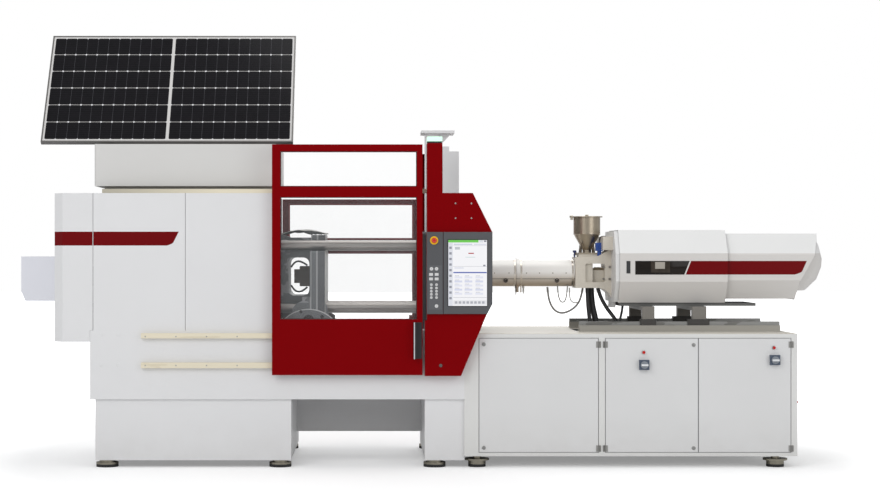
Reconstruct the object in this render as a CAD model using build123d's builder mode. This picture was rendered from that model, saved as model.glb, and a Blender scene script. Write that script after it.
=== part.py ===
"""Electric injection moulding machine: clamp unit on the left, injection unit on the right.

Millimetres, +Z up, +X towards the injection end, +Y away from the operator. The origin is on
the floor under the middle of the machine's box.
"""

import math
import os

from build123d import *

os.makedirs("parts", exist_ok=True)

# Whole machine
left_end = -3005.0
axis_height = 1370.0
bed_half_width = 700.0
sheet = 3.0
running_gap = 0.06
free_gap = 0.6

# Clamp bed
clamp_bed_left = -2433.0
clamp_bed_right = 263.0
skirt_bottom = 491.0
clamp_bed_top = 986.0
bed_wall = 12.0
deck_thickness = 40.0
slot_half_width = 276.0
pedestal_inset = 20.0
pedestal_spans = ((-2397.0, -985.0), (-20.0, 263.0))
chute_panel_y = 350.0
chute_panel_bottom = 160.0
clamp_foot_height = 50.0
clamp_foot_radius = 80.0
foot_line = 620.0
clamp_feet_x = (-2318.0, -1065.0, 51.0)
foot_land_half = 70.0

# Injection bed
injection_bed_right = 2661.0
injection_bed_bottom = 81.0
injection_bed_top = 963.0
cabinet_wall = 5.0
cabinet_front_depth = 26.0
injection_feet_x = (358.0, 2517.0)
hose_well = (1120.0, 1640.0)
hose_well_half_width = 200.0

# Doors of the injection bed
door_bottom = 108.0
door_top = 931.0
door_gap = 2.0
door_thickness = 22.0
door_left_span = (368.0, 1229.0)
door_middle_span = (1278.0, 1948.0)
door_right_span = (1948.0, 2615.0)
hinge_heights = (137.0, 885.0)
hinge_barrel_radius = 6.0
hinge_barrel_length = 45.0
latch_radius = 14.0

# Tie bars and platens
platen_rail_y = 420.0
platen_rail_half = 20.0
platen_rail_height = 26.0
platen_rail_left = -1730.0
tie_bar_radius = 37.0
tie_bar_y = 330.0
tie_bar_z = 232.0
tie_bar_left = -2560.0
tie_bar_head_radius = 55.0
tie_bar_head_length = 80.0
fixed_face = -45.0
fixed_thickness = 180.0
platen_half_width = 430.0
platen_half_height = 330.0
locating_radius = 80.0
locating_depth = 30.0
nozzle_passage_radius = 70.0
nozzle_cone_radius = 170.0
nozzle_cone_depth = 95.0
mould_hole_radius = 8.75
mould_hole_y = 420.0
mould_hole_z = 280.0
mould_hole_depth = 45.0
moving_face = -746.0
moving_thickness = 108.0
moving_core_half_width = 284.0
moving_core_half_height = 310.0
wing_half_width = 455.0
wing_half_height = 188.0
casting_back = -1100.0
casting_half_width = 270.0
casting_half_height = 290.0
platen_window_half_height = 141.0
platen_window_span = (-1027.0, -868.0)
end_platen_left = -2060.0
end_platen_thickness = 200.0
end_lobe_half_width = 262.0
end_lobe_half_height = 405.0

# Toggle: each link pair folds inward from the line of its end pivots
toggle_height = 345.0
end_pivot_x = -1528.0
rear_link_length = 280.0
front_link_length = 370.0
open_angle = 100.0
pivot_pin_radius = 34.0
knee_pin_radius = 28.0
link_end_radius = 60.0
knee_radius = 47.0
front_link_half_depth = 100.0
link_side_gap = 4.0
rear_plate_depth = 60.0
lug_depth = 60.0
arm_point_along = 150.0
arm_point_in = 90.0
arm_radius = 38.0
arm_link_length = 190.0
arm_plate_depth = 28.0
crosshead_pin_height = 70.0
crosshead_pin_radius = 20.0
crosshead_half_length = 50.0
guide_rod_radius = 14.0
guide_rod_y = 232.0
screw_radius = 32.0

# Guard around the clamp unit
cover_top = 1976.0
cover_bottom = 986.0
cover_depth = 40.0
cover_split_x = -1746.0
covers_left = -2411.0
covers_right = -1118.0
end_cover_left = -2697.0
end_cover_shoulder = -2630.0
end_cover_bottom = 904.0
end_bevel = 60.0
drive_cover_bottom = 1189.0
drive_cover_top = 1519.0
drive_cover_half_width = 300.0
drive_cover_bevel = (31.0, 72.0)
hood_left = -2415.0
hood_right = -1100.0
hood_half_width = 600.0
hood_bottom = 2030.0
hood_top = 2335.0
neck_left = -2346.0
neck_half_width = 560.0
inner_wall_thickness = 12.0
wall_opening_half_width = 480.0
wall_opening_top = 1800.0
frame_tube = 45.0

# Gates
gate_left = -1118.0
gate_right = -40.0
gate_bottom = 670.0
gate_outer = 775.0
gate_thickness = 25.0
front_gate_top = 2322.0
rear_gate_top = 1975.0
gate_window_left = -1058.5
gate_window_right = -81.0
front_windows = ((1069.0, 1945.0), (2021.0, 2272.0))
rear_windows = ((1000.0, 1540.0), (1666.0, 1929.0))
pane_thickness = 6.0
pane_lap = 12.0
rail_left = -2061.0
rail_right = -60.0
rail_depth = 35.0
rail_heights = ((717.0, 756.0), (931.0, 967.0))
upper_rail_height = 30.0
upper_rail_depth = 40.0
upper_rail_front = 695.0
shoe_length = 90.0
handle_x = (-105.0, -45.0)
handle_z = (787.0, 1048.0)
handle_reach = 55.0

# Red guard at the fixed platen, with the operator's panel on it
guard_front = 780.0
guard_back = 620.0
guard_left = -23.0
column_left = -8.0
column_right = 102.5
column_top = 2331.0
guard_top = 1974.0
guard_bottom = 664.0
guard_right = 459.0
guard_slope_top = 1695.0
guard_shoulder_x = 320.0
guard_slope_bottom = (421.0, 1108.0)
guard_corner_z = 1180.0
guard_toe_x = 235.0
panel_depth = 20.0
panel_top = 1694.0
key_panel_left = -9.0
key_panel_right = 105.0
screen_left = 108.8
display_span_x = (143.0, 420.0)
display_span_z = (1166.0, 1637.0)
display_depth = 2.0
stop_place = (42.0, 1634.0)
stop_ring_radius = 29.0
stop_stem_radius = 11.0
stop_cap_radius = 19.0
stop_cap_length = 18.0
stop_travel = 6.0
beacon_base = 12.0
beacon_top = 2378.0

# Robot console and rear tower
console_left = -31.0
console_right = 218.0
console_top = 2465.0
console_plate = 20.0
console_half_width = 150.0
pillar_span = (0.0, 100.0)
pillar_half_width = 100.0
gusset_bottom = 2345.0
tower_span = (156.0, 283.0)
tower_step_x = 206.0
tower_tops = (2385.0, 2346.0)
tower_y = (520.0, 690.0)

# Solar panel on the top hood
solar_left = -2838.0
solar_width = 1855.0
solar_length = 1003.0
solar_low_y = -430.0
solar_low_z = 2362.0
solar_tilt = 57.3
solar_frame_depth = 35.0
solar_rim = 11.0
laminate_thickness = 6.0
bracket_x = (-2330.0, -1300.0)
bracket_width = 40.0
bracket_bar = 35.0

# Injection unit
beam_span = (1131.0, 2612.0)
beam_y = 330.0
beam_half_width = 40.0
beam_top = 1010.0
rail_half_width = 18.0
rail_top = 1038.0
shoe_spans = ((1582.0, 1697.0), (1933.0, 2091.0))
leg_spans = ((1597.0, 1686.0), (1966.0, 2069.0))
shoe_top = 1055.0
carriage_plate_bottom = 1150.0
carriage_plate_top = 1172.0
carriage_plate_span = (1445.0, 2459.0)
carriage_half_width = 236.0
nozzle_tip = 20.0
nozzle_length = 80.0
nozzle_radius = 20.0
barrel_radius = 50.0
barrel_bore = 22.5
heater_radius = 60.0
heater_length = 110.0
heater_pitch = 130.0
heater_count = 6
first_heater = 240.0
feed_block_right = 1262.0
guard_centre_height = 1394.0
guard_radius = 101.0
guard_ring_radius = 110.0
guard_one_span = (250.0, 690.0)
guard_two_span = (712.0, 1126.0)
head_left = 1129.0
head_block_right = 1204.0
head_bottom = 1282.0
head_top = 1515.0
head_half_width = 115.0
head_window = (1204.0, 1350.0, 1325.0, 1465.0)
flange_span = (1400.0, 1430.0)
hopper_x = 1228.0
hopper_radius = 100.5
hopper_wall = 2.0
hopper_top = 1815.0
hopper_cone_top = 1689.0
hopper_cone_bottom = 1568.0
hopper_neck_radius = 33.0
hopper_base_top = 1548.0
hopper_base_bottom = 1534.0
hopper_base_half = 70.0
lid_radius = 118.0
lid_thickness = 8.0
slide_gate_thickness = 6.0
slide_gate_half = 42.0
hood_front_span = (1430.0, 2227.0)
hood_rear_span = (2227.0, 2913.0)
hood_section = ((360.0, 1332.0), (360.0, 1543.0), (250.0, 1716.0))
hood_section_low = (250.0, 1175.0)
hood_lap = 26.0
hood_rear_low = 1197.0
hood_rake = ((0.0, 1686.0), (-27.0, 1545.0), (-146.0, 1332.0), (-165.0, 1197.0))
hood_cap_half_width = 220.0
hood_cap_corners = ((-41.0, 1265.0), (55.0, 1345.0), (92.0, 1440.0), (92.0, 1500.0), (52.0, 1610.0), (-7.0, 1650.0))
hood_cap_radius = 24.0


def box_between(x_span, y_span, z_span, mode=Mode.ADD):
    """A box given by its two ends along each axis, for use inside a part block."""
    with Locations(((x_span[0] + x_span[1]) / 2, (y_span[0] + y_span[1]) / 2, (z_span[0] + z_span[1]) / 2)):
        Box(x_span[1] - x_span[0], y_span[1] - y_span[0], z_span[1] - z_span[0], mode=mode)


def side_plane(y):
    """The XZ plane at a given y, with its normal towards the operator."""
    return Plane(origin=(0, y, 0), x_dir=(1, 0, 0), z_dir=(0, -1, 0))


def end_plane(x):
    """The YZ plane at a given x, with its normal towards the injection end."""
    return Plane(origin=(x, 0, 0), x_dir=(0, 1, 0), z_dir=(1, 0, 0))


def save(part, name):
    """Labels a finished piece and writes it under its own name."""
    part.label = name
    export_step(part, f"parts/{name}.step")


# Clamp bed: a welded trough with two decks, a chute between its pedestals and open feet boxes
with BuildPart() as clamp_bed:
    inner_half = bed_half_width - bed_wall
    pedestal_half = bed_half_width - pedestal_inset
    box_between((clamp_bed_left, clamp_bed_right), (-bed_half_width, bed_half_width), (skirt_bottom, clamp_bed_top))
    box_between(
        (clamp_bed_left + bed_wall, clamp_bed_right - bed_wall),
        (-inner_half, inner_half),
        (skirt_bottom + bed_wall, clamp_bed_top),
        mode=Mode.SUBTRACT,
    )
    for side in (-1, 1):
        deck_y = sorted((side * slot_half_width, side * inner_half))
        deck_z = (clamp_bed_top - deck_thickness, clamp_bed_top)
        box_between((clamp_bed_left + bed_wall, clamp_bed_right - bed_wall), deck_y, deck_z)
        web_y = sorted((side * slot_half_width, side * (slot_half_width + bed_wall)))
        box_between(
            (clamp_bed_left + bed_wall, clamp_bed_right - bed_wall),
            web_y,
            (skirt_bottom + bed_wall, clamp_bed_top - deck_thickness),
        )
    chute_left = pedestal_spans[0][1]
    chute_right = pedestal_spans[1][0]
    box_between(
        (chute_left + bed_wall, chute_right - bed_wall),
        (-slot_half_width, slot_half_width),
        (skirt_bottom, skirt_bottom + bed_wall),
        mode=Mode.SUBTRACT,
    )
    for span in pedestal_spans:
        box_between(span, (-pedestal_half, pedestal_half), (clamp_foot_height, skirt_bottom))
        box_between(
            (span[0] + bed_wall, span[1] - bed_wall),
            (-pedestal_half + bed_wall, pedestal_half - bed_wall),
            (clamp_foot_height, skirt_bottom),
            mode=Mode.SUBTRACT,
        )
    for foot_x in clamp_feet_x:
        for side in (-1, 1):
            land_y = sorted((side * (foot_line - clamp_foot_radius), side * pedestal_half))
            land_x = (foot_x - foot_land_half, foot_x + foot_land_half)
            box_between(land_x, land_y, (clamp_foot_height, clamp_foot_height + 2 * bed_wall))
    box_between(
        (chute_left, chute_right),
        (chute_panel_y, chute_panel_y + bed_wall),
        (chute_panel_bottom, skirt_bottom),
    )
    for side in (-1, 1):
        rail_y = (side * platen_rail_y - platen_rail_half, side * platen_rail_y + platen_rail_half)
        box_between((platen_rail_left, fixed_face), rail_y, (clamp_bed_top, clamp_bed_top + platen_rail_height))
save(clamp_bed.part, "clamp_bed")

# Injection bed: a cabinet frame with three door openings and a well for the hoses
with BuildPart() as injection_bed:
    inner_half = bed_half_width - cabinet_wall
    injection_bed_span = (clamp_bed_right, injection_bed_right)
    box_between(injection_bed_span, (-bed_half_width, bed_half_width), (injection_bed_bottom, injection_bed_top))
    box_between(
        (clamp_bed_right + cabinet_wall, injection_bed_right - cabinet_wall),
        (-bed_half_width + cabinet_front_depth, inner_half),
        (injection_bed_bottom + cabinet_wall, injection_bed_top - cabinet_wall),
        mode=Mode.SUBTRACT,
    )
    for span in (door_left_span, (door_middle_span[0], door_right_span[1])):
        box_between(
            (span[0] - door_gap, span[1] + door_gap),
            (-bed_half_width, -bed_half_width + cabinet_front_depth),
            (door_bottom - door_gap, door_top + door_gap),
            mode=Mode.SUBTRACT,
        )
    box_between(
        hose_well,
        (-hose_well_half_width, hose_well_half_width),
        (injection_bed_top - cabinet_wall, injection_bed_top),
        mode=Mode.SUBTRACT,
    )
    box_between(
        (clamp_bed_right + 100, injection_bed_right - 100),
        (inner_half - 3 * cabinet_wall, inner_half),
        (door_bottom + 60, door_top - 60),
    )
save(injection_bed.part, "injection_bed")


def door(span, hinge_on_left, has_latches, has_lamp_and_base):
    """A folded door with two hinge leaves, and latches or an isolator base where it has them."""
    hinge_x = span[0] if hinge_on_left else span[1]
    latch_x = span[1] - 35 if hinge_on_left else span[0] + 35
    inward = 1 if hinge_on_left else -1
    front = -bed_half_width
    with BuildPart() as panel:
        box_between(
            (span[0] + door_gap / 2, span[1] - door_gap / 2),
            (front, front + door_thickness),
            (door_bottom, door_top),
        )
        box_between(
            (span[0] + 25, span[1] - 25),
            (front + sheet, front + door_thickness),
            (door_bottom + 25, door_top - 25),
            mode=Mode.SUBTRACT,
        )
        for height in hinge_heights:
            leaf_x = sorted((hinge_x + inward * 2, hinge_x + inward * 18))
            leaf_z = (height - hinge_barrel_length / 2, height + hinge_barrel_length / 2)
            box_between(leaf_x, (front - 4, front), leaf_z)
        if has_latches:
            with Locations(
                *[Plane(origin=(latch_x, front, z), z_dir=(0, -1, 0)) for z in (hinge_heights[0] + 4, hinge_heights[1])]
            ):
                Cylinder(latch_radius, 4, align=(Align.CENTER, Align.CENTER, Align.MIN))
        if has_lamp_and_base:
            base_x, base_z, lamp_z = has_lamp_and_base
            box_between((base_x - 36, base_x + 36), (front - 32, front), (base_z - 36, base_z + 36))
            with Locations(Plane(origin=(base_x, front, lamp_z), z_dir=(0, -1, 0))):
                Cylinder(13, 10, align=(Align.CENTER, Align.CENTER, Align.MIN))
            with Locations(Plane(origin=(base_x, front - 32, base_z), z_dir=(0, 1, 0))):
                Cylinder(isolator_shaft_radius + running_gap, 24, align=(Align.CENTER, Align.CENTER, Align.MIN),
                         mode=Mode.SUBTRACT)
    return panel.part


isolator_shaft_radius = 6.0
isolator_places = ((1555.0, 740.0, 829.0), (2495.0, 775.0, 863.0))
save(door(door_left_span, False, True, None), "door_left")
save(door(door_middle_span, True, True, isolator_places[0]), "door_middle")
save(door(door_right_span, False, False, isolator_places[1]), "door_right")


def rotary_handle(base_x, base_z):
    """An isolator's round knob with a grip bar and its short shaft."""
    front = -bed_half_width - 32
    with BuildPart() as knob:
        with Locations(Plane(origin=(base_x, front - free_gap, base_z), z_dir=(0, -1, 0))):
            Cylinder(27, 12, align=(Align.CENTER, Align.CENTER, Align.MIN))
            Box(13, 48, 32, align=(Align.CENTER, Align.CENTER, Align.MIN))
        with Locations(Plane(origin=(base_x, front - free_gap, base_z), z_dir=(0, 1, 0))):
            Cylinder(isolator_shaft_radius, 20, align=(Align.CENTER, Align.CENTER, Align.MIN))
    return knob.part


save(rotary_handle(*isolator_places[0][:2]), "isolator_left")
save(rotary_handle(*isolator_places[1][:2]), "isolator_right")

# Main switch on the right end of the injection bed
side_switch_height = 462.0
side_switch_y = -560.0
with BuildPart() as side_switch:
    with Locations(Plane(origin=(injection_bed_right, side_switch_y, side_switch_height), z_dir=(1, 0, 0))):
        Cylinder(36.5, 14, align=(Align.CENTER, Align.CENTER, Align.MIN))
        Box(18, 66, 31, align=(Align.CENTER, Align.CENTER, Align.MIN))
save(side_switch.part, "side_switch")

# Levelling feet: six on the clamp bed and four under the injection bed, as separate solids
with BuildPart() as levelling_feet:
    for foot_x in clamp_feet_x:
        for side in (-1, 1):
            with Locations((foot_x, side * foot_line, 0)):
                Cylinder(clamp_foot_radius, 34, align=(Align.CENTER, Align.CENTER, Align.MIN))
            with Locations((foot_x, side * foot_line, 34)):
                Cylinder(clamp_foot_radius - 22, clamp_foot_height - 34, align=(Align.CENTER, Align.CENTER, Align.MIN))
    for foot_x in injection_feet_x:
        for side in (-1, 1):
            with Locations((foot_x, side * foot_line, 0)):
                Cylinder(63.5, 48, align=(Align.CENTER, Align.CENTER, Align.MIN))
            with Locations((foot_x, side * foot_line, 48)):
                Cylinder(88, 12, align=(Align.CENTER, Align.CENTER, Align.MIN))
            with Locations((foot_x, side * foot_line, 60)):
                Cylinder(30, injection_bed_bottom - 60, align=(Align.CENTER, Align.CENTER, Align.MIN))
save(levelling_feet.part, "levelling_feet")

# Tie bars with turned heads behind the fixed platen
bar_places = [(side * tie_bar_y, axis_height + level * tie_bar_z) for side in (-1, 1) for level in (-1, 1)]
fixed_back = fixed_face + fixed_thickness
with BuildPart() as tie_bars:
    for y, z in bar_places:
        with Locations(Plane(origin=(tie_bar_left, y, z), z_dir=(1, 0, 0))):
            Cylinder(tie_bar_radius, fixed_back - tie_bar_left, align=(Align.CENTER, Align.CENTER, Align.MIN))
        with Locations(Plane(origin=(fixed_back, y, z), z_dir=(1, 0, 0))):
            Cylinder(tie_bar_head_radius, tie_bar_head_length, align=(Align.CENTER, Align.CENTER, Align.MIN))
    chamfer(tie_bars.edges().filter_by(GeomType.CIRCLE).group_by(Axis.X)[-1], 6)
save(tie_bars.part, "tie_bars")

# Fixed platen: locating bore for the mould, a cone for the nozzle, feet on the decks
with BuildPart() as fixed_platen:
    with BuildSketch(end_plane(fixed_face)):
        with Locations((0, axis_height)):
            RectangleRounded(2 * platen_half_width, 2 * platen_half_height, 30)
    extrude(amount=fixed_thickness)
    for side in (-1, 1):
        foot_y = sorted((side * (slot_half_width + 20), side * (platen_half_width - 10)))
        box_between((fixed_face, fixed_back), foot_y, (clamp_bed_top, axis_height - platen_half_height + 40))
    with Locations(*[Plane(origin=(fixed_face, y, z), z_dir=(1, 0, 0)) for y, z in bar_places]):
        Cylinder(tie_bar_radius + running_gap, fixed_thickness, align=(Align.CENTER, Align.CENTER, Align.MIN),
                 mode=Mode.SUBTRACT)
    with BuildSketch(Plane(origin=(0, 0, axis_height), x_dir=(1, 0, 0), z_dir=(0, -1, 0))):
        with BuildLine():
            Polyline(
                (fixed_face, 0),
                (fixed_face, locating_radius),
                (fixed_face + locating_depth, locating_radius),
                (fixed_face + locating_depth, nozzle_passage_radius),
                (fixed_back - nozzle_cone_depth, nozzle_passage_radius),
                (fixed_back, nozzle_cone_radius),
                (fixed_back, 0),
                close=True,
            )
        make_face()
    revolve(axis=Axis((0, 0, axis_height), (1, 0, 0)), mode=Mode.SUBTRACT)
    mould_holes = [
        (side * mould_hole_y / 2, axis_height + level * mould_hole_z / 2) for side in (-1, 1) for level in (-1, 1)
    ]
    with Locations(*[Plane(origin=(fixed_face, y, z), z_dir=(1, 0, 0)) for y, z in mould_holes]):
        Cylinder(mould_hole_radius, mould_hole_depth, align=(Align.CENTER, Align.CENTER, Align.MIN),
                 mode=Mode.SUBTRACT)
save(fixed_platen.part, "fixed_platen")

# Toggle geometry, worked out from the link lengths
fold = math.radians(open_angle)
knee_along = rear_link_length * math.cos(fold)
knee_in = rear_link_length * math.sin(fold)
front_span = math.sqrt(front_link_length**2 - knee_in**2)
moving_pivot_x = end_pivot_x + knee_along + front_span
stroke = rear_link_length + front_link_length - knee_along - front_span
front_fold = math.degrees(math.asin(knee_in / front_link_length))
arm_x = end_pivot_x + arm_point_along * math.cos(fold) - arm_point_in * math.sin(fold)
arm_in = arm_point_along * math.sin(fold) + arm_point_in * math.cos(fold)
arm_drop = toggle_height - arm_in - crosshead_pin_height
arm_run = math.sqrt(arm_link_length**2 - arm_drop**2)
crosshead_x = arm_x - arm_run
closed_drop = toggle_height - arm_point_in - crosshead_pin_height
closed_crosshead_x = end_pivot_x + arm_point_along - math.sqrt(arm_link_length**2 - closed_drop**2)
crosshead_stroke = closed_crosshead_x - crosshead_x
arm_open_angle = math.degrees(math.atan2(arm_drop, arm_run))
arm_closed_angle = math.degrees(math.atan2(closed_drop, end_pivot_x + arm_point_along - closed_crosshead_x))
print("stroke", round(stroke, 2), "moving pivot x", round(moving_pivot_x, 2))
print("crosshead x", round(crosshead_x, 2), "stroke", round(crosshead_stroke, 2))
print("front fold", round(front_fold, 3), "arm angles", round(arm_open_angle, 3), round(arm_closed_angle, 3))

# Depth layers of the toggle, from the middle plane outwards
rear_plate_inner = front_link_half_depth + link_side_gap
rear_plate_outer = rear_plate_inner + rear_plate_depth
arm_inner = rear_plate_outer + link_side_gap
arm_outer = arm_inner + arm_plate_depth
end_lug_inner = arm_outer + link_side_gap
end_lug_outer = end_lug_inner + lug_depth


def link_frame(x, height_above_axis, angle_in, level, y):
    """A plane on a pivot with its x axis along a link, turned inward; its normal is -Y."""
    angle = math.radians(angle_in)
    return Plane(
        origin=(x, y, axis_height + level * height_above_axis),
        x_dir=(math.cos(angle), 0, -level * math.sin(angle)),
        z_dir=(0, -1, 0),
    )


# End platen: carries the rear pivots, guide rods and drive, and slides to suit the mould height
end_platen_right = end_platen_left + end_platen_thickness
with BuildPart() as end_platen:
    with BuildSketch(end_plane(end_platen_left)):
        with Locations((0, axis_height)):
            Rectangle(2 * platen_half_width, 2 * platen_half_height)
            Rectangle(2 * end_lobe_half_width, 2 * end_lobe_half_height)
        fillet(vertices(), 20)
    extrude(amount=end_platen_thickness)
    for side in (-1, 1):
        foot_y = sorted((side * (slot_half_width + 20), side * (platen_half_width - 10)))
        box_between(
            (end_platen_left, end_platen_right), foot_y, (clamp_bed_top, axis_height - platen_half_height + 40)
        )
    for y, z in bar_places:
        with Locations(Plane(origin=(end_platen_left, y, z), z_dir=(-1, 0, 0))):
            Cylinder(tie_bar_head_radius + 10, 70, align=(Align.CENTER, Align.CENTER, Align.MIN))
    with Locations(*[Plane(origin=(end_platen_left - 80, y, z), z_dir=(1, 0, 0)) for y, z in bar_places]):
        Cylinder(tie_bar_radius + free_gap, end_platen_thickness + 80, align=(Align.CENTER, Align.CENTER, Align.MIN),
                 mode=Mode.SUBTRACT)
    with Locations(Plane(origin=(end_platen_left, 0, axis_height), z_dir=(1, 0, 0))):
        Cylinder(60, end_platen_thickness, align=(Align.CENTER, Align.CENTER, Align.MIN), mode=Mode.SUBTRACT)
    for level in (-1, 1):
        for side in (-1, 1):
            with BuildSketch(side_plane(side * end_lug_inner)):
                with Locations((end_pivot_x, axis_height + level * toggle_height)):
                    Circle(link_end_radius)
                with Locations((end_platen_right - 20, axis_height + level * (toggle_height + 30))):
                    Circle(30)
                with Locations((end_platen_right - 20, axis_height + level * (toggle_height - 120))):
                    Circle(30)
                make_hull()
            extrude(amount=-side * lug_depth)
        with Locations(Plane(origin=(end_pivot_x, 0, axis_height + level * toggle_height), z_dir=(0, 1, 0))):
            Cylinder(pivot_pin_radius, 2 * end_lug_outer)
    for side in (-1, 1):
        with Locations(Plane(origin=(end_platen_right, side * guide_rod_y, axis_height), z_dir=(1, 0, 0))):
            Cylinder(guide_rod_radius, end_pivot_x + 200 - end_platen_right,
                     align=(Align.CENTER, Align.CENTER, Align.MIN))
save(end_platen.part, "end_platen")


def rear_link(level):
    """Two plates joined by the knee pin, each with an arm for the crosshead's link."""
    with BuildPart() as link:
        for side in (-1, 1):
            near = side * rear_plate_inner
            frame = link_frame(end_pivot_x, toggle_height, open_angle, level, near)
            with BuildSketch(frame):
                Circle(link_end_radius)
                with Locations((rear_link_length, 0)):
                    Circle(knee_radius)
                with Locations((arm_point_along, -level * arm_point_in)):
                    Circle(arm_radius)
                make_hull()
            extrude(amount=-side * rear_plate_depth)
        with Locations(link_frame(end_pivot_x, toggle_height, open_angle, level, 0)):
            Cylinder(pivot_pin_radius + running_gap, 2 * rear_plate_outer + 2, mode=Mode.SUBTRACT)
        knee = Plane(
            origin=(end_pivot_x + knee_along, 0, axis_height + level * (toggle_height - knee_in)), z_dir=(0, -1, 0)
        )
        with Locations(knee):
            Cylinder(knee_pin_radius, 2 * rear_plate_outer)
    return link.part


def front_link(level):
    """The single wide link from the knee to the moving platen."""
    start = Plane(
        origin=(end_pivot_x + knee_along, 0, axis_height + level * (toggle_height - knee_in)),
        x_dir=(math.cos(math.radians(front_fold)), 0, level * math.sin(math.radians(front_fold))),
        z_dir=(0, -1, 0),
    )
    with BuildPart() as link:
        with BuildSketch(start):
            Circle(knee_radius)
            with Locations((front_link_length, 0)):
                Circle(link_end_radius - 5)
            make_hull()
            Circle(knee_pin_radius + running_gap, mode=Mode.SUBTRACT)
            with Locations((front_link_length, 0)):
                Circle(pivot_pin_radius, mode=Mode.SUBTRACT)
        extrude(amount=front_link_half_depth, both=True)
    return link.part


def arm_link(level):
    """Two plates from the crosshead's pins up to the arms of a rear link."""
    angle = math.radians(arm_open_angle)
    with BuildPart() as link:
        for side in (-1, 1):
            frame = Plane(
                origin=(crosshead_x, side * arm_inner, axis_height + level * crosshead_pin_height),
                x_dir=(math.cos(angle), 0, level * math.sin(angle)),
                z_dir=(0, -1, 0),
            )
            with BuildSketch(frame):
                Circle(arm_radius - 6)
                with Locations((arm_link_length, 0)):
                    Circle(arm_radius - 6)
                make_hull()
                Circle(crosshead_pin_radius + running_gap, mode=Mode.SUBTRACT)
                with Locations((arm_link_length, 0)):
                    Circle(crosshead_pin_radius, mode=Mode.SUBTRACT)
            extrude(amount=-side * arm_plate_depth)
    return link.part


for level, word in ((1, "upper"), (-1, "lower")):
    save(rear_link(level), f"rear_link_{word}")
    save(front_link(level), f"front_link_{word}")
    save(arm_link(level), f"crosshead_link_{word}")

# Crosshead with its ball screw, on the guide rods
screw_tail = end_platen_left - 420
with BuildPart() as crosshead:
    half = crosshead_half_length
    block_half_height = crosshead_pin_height + crosshead_pin_radius + 16
    box_between(
        (crosshead_x - half, crosshead_x + half),
        (-rear_plate_inner, rear_plate_inner),
        (axis_height - block_half_height, axis_height + block_half_height),
    )
    box_between(
        (crosshead_x - half, crosshead_x + half),
        (-end_lug_outer, end_lug_outer),
        (axis_height - 27, axis_height + 27),
    )
    for level in (-1, 1):
        with Locations(Plane(origin=(crosshead_x, 0, axis_height + level * crosshead_pin_height), z_dir=(0, 1, 0))):
            Cylinder(crosshead_pin_radius, 2 * arm_outer)
    with Locations(Plane(origin=(screw_tail, 0, axis_height), z_dir=(1, 0, 0))):
        Cylinder(screw_radius, crosshead_x - screw_tail, align=(Align.CENTER, Align.CENTER, Align.MIN))
    for side in (-1, 1):
        with Locations(Plane(origin=(crosshead_x, side * guide_rod_y, axis_height), z_dir=(1, 0, 0))):
            Cylinder(guide_rod_radius + running_gap, 2 * half + 2, mode=Mode.SUBTRACT)
save(crosshead.part, "crosshead")

# Clamp drive: nut housing, screw tube and hollow motor behind the end platen
motor_left = -2860.0
with BuildPart() as clamp_drive:
    with BuildSketch(Plane(origin=(0, 0, axis_height), x_dir=(1, 0, 0), z_dir=(0, -1, 0))):
        with BuildLine():
            Polyline(
                (end_platen_left, screw_radius + 4),
                (end_platen_left, 130),
                (end_platen_left - 140, 130),
                (end_platen_left - 160, 75),
                (motor_left + 330, 75),
                (motor_left + 310, 118),
                (motor_left + 20, 118),
                (motor_left, 98),
                (motor_left, 0),
                (motor_left + 60, 0),
                (motor_left + 60, screw_radius + 4),
                close=True,
            )
        make_face()
    revolve(axis=Axis((0, 0, axis_height), (1, 0, 0)))
save(clamp_drive.part, "clamp_drive")

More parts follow.
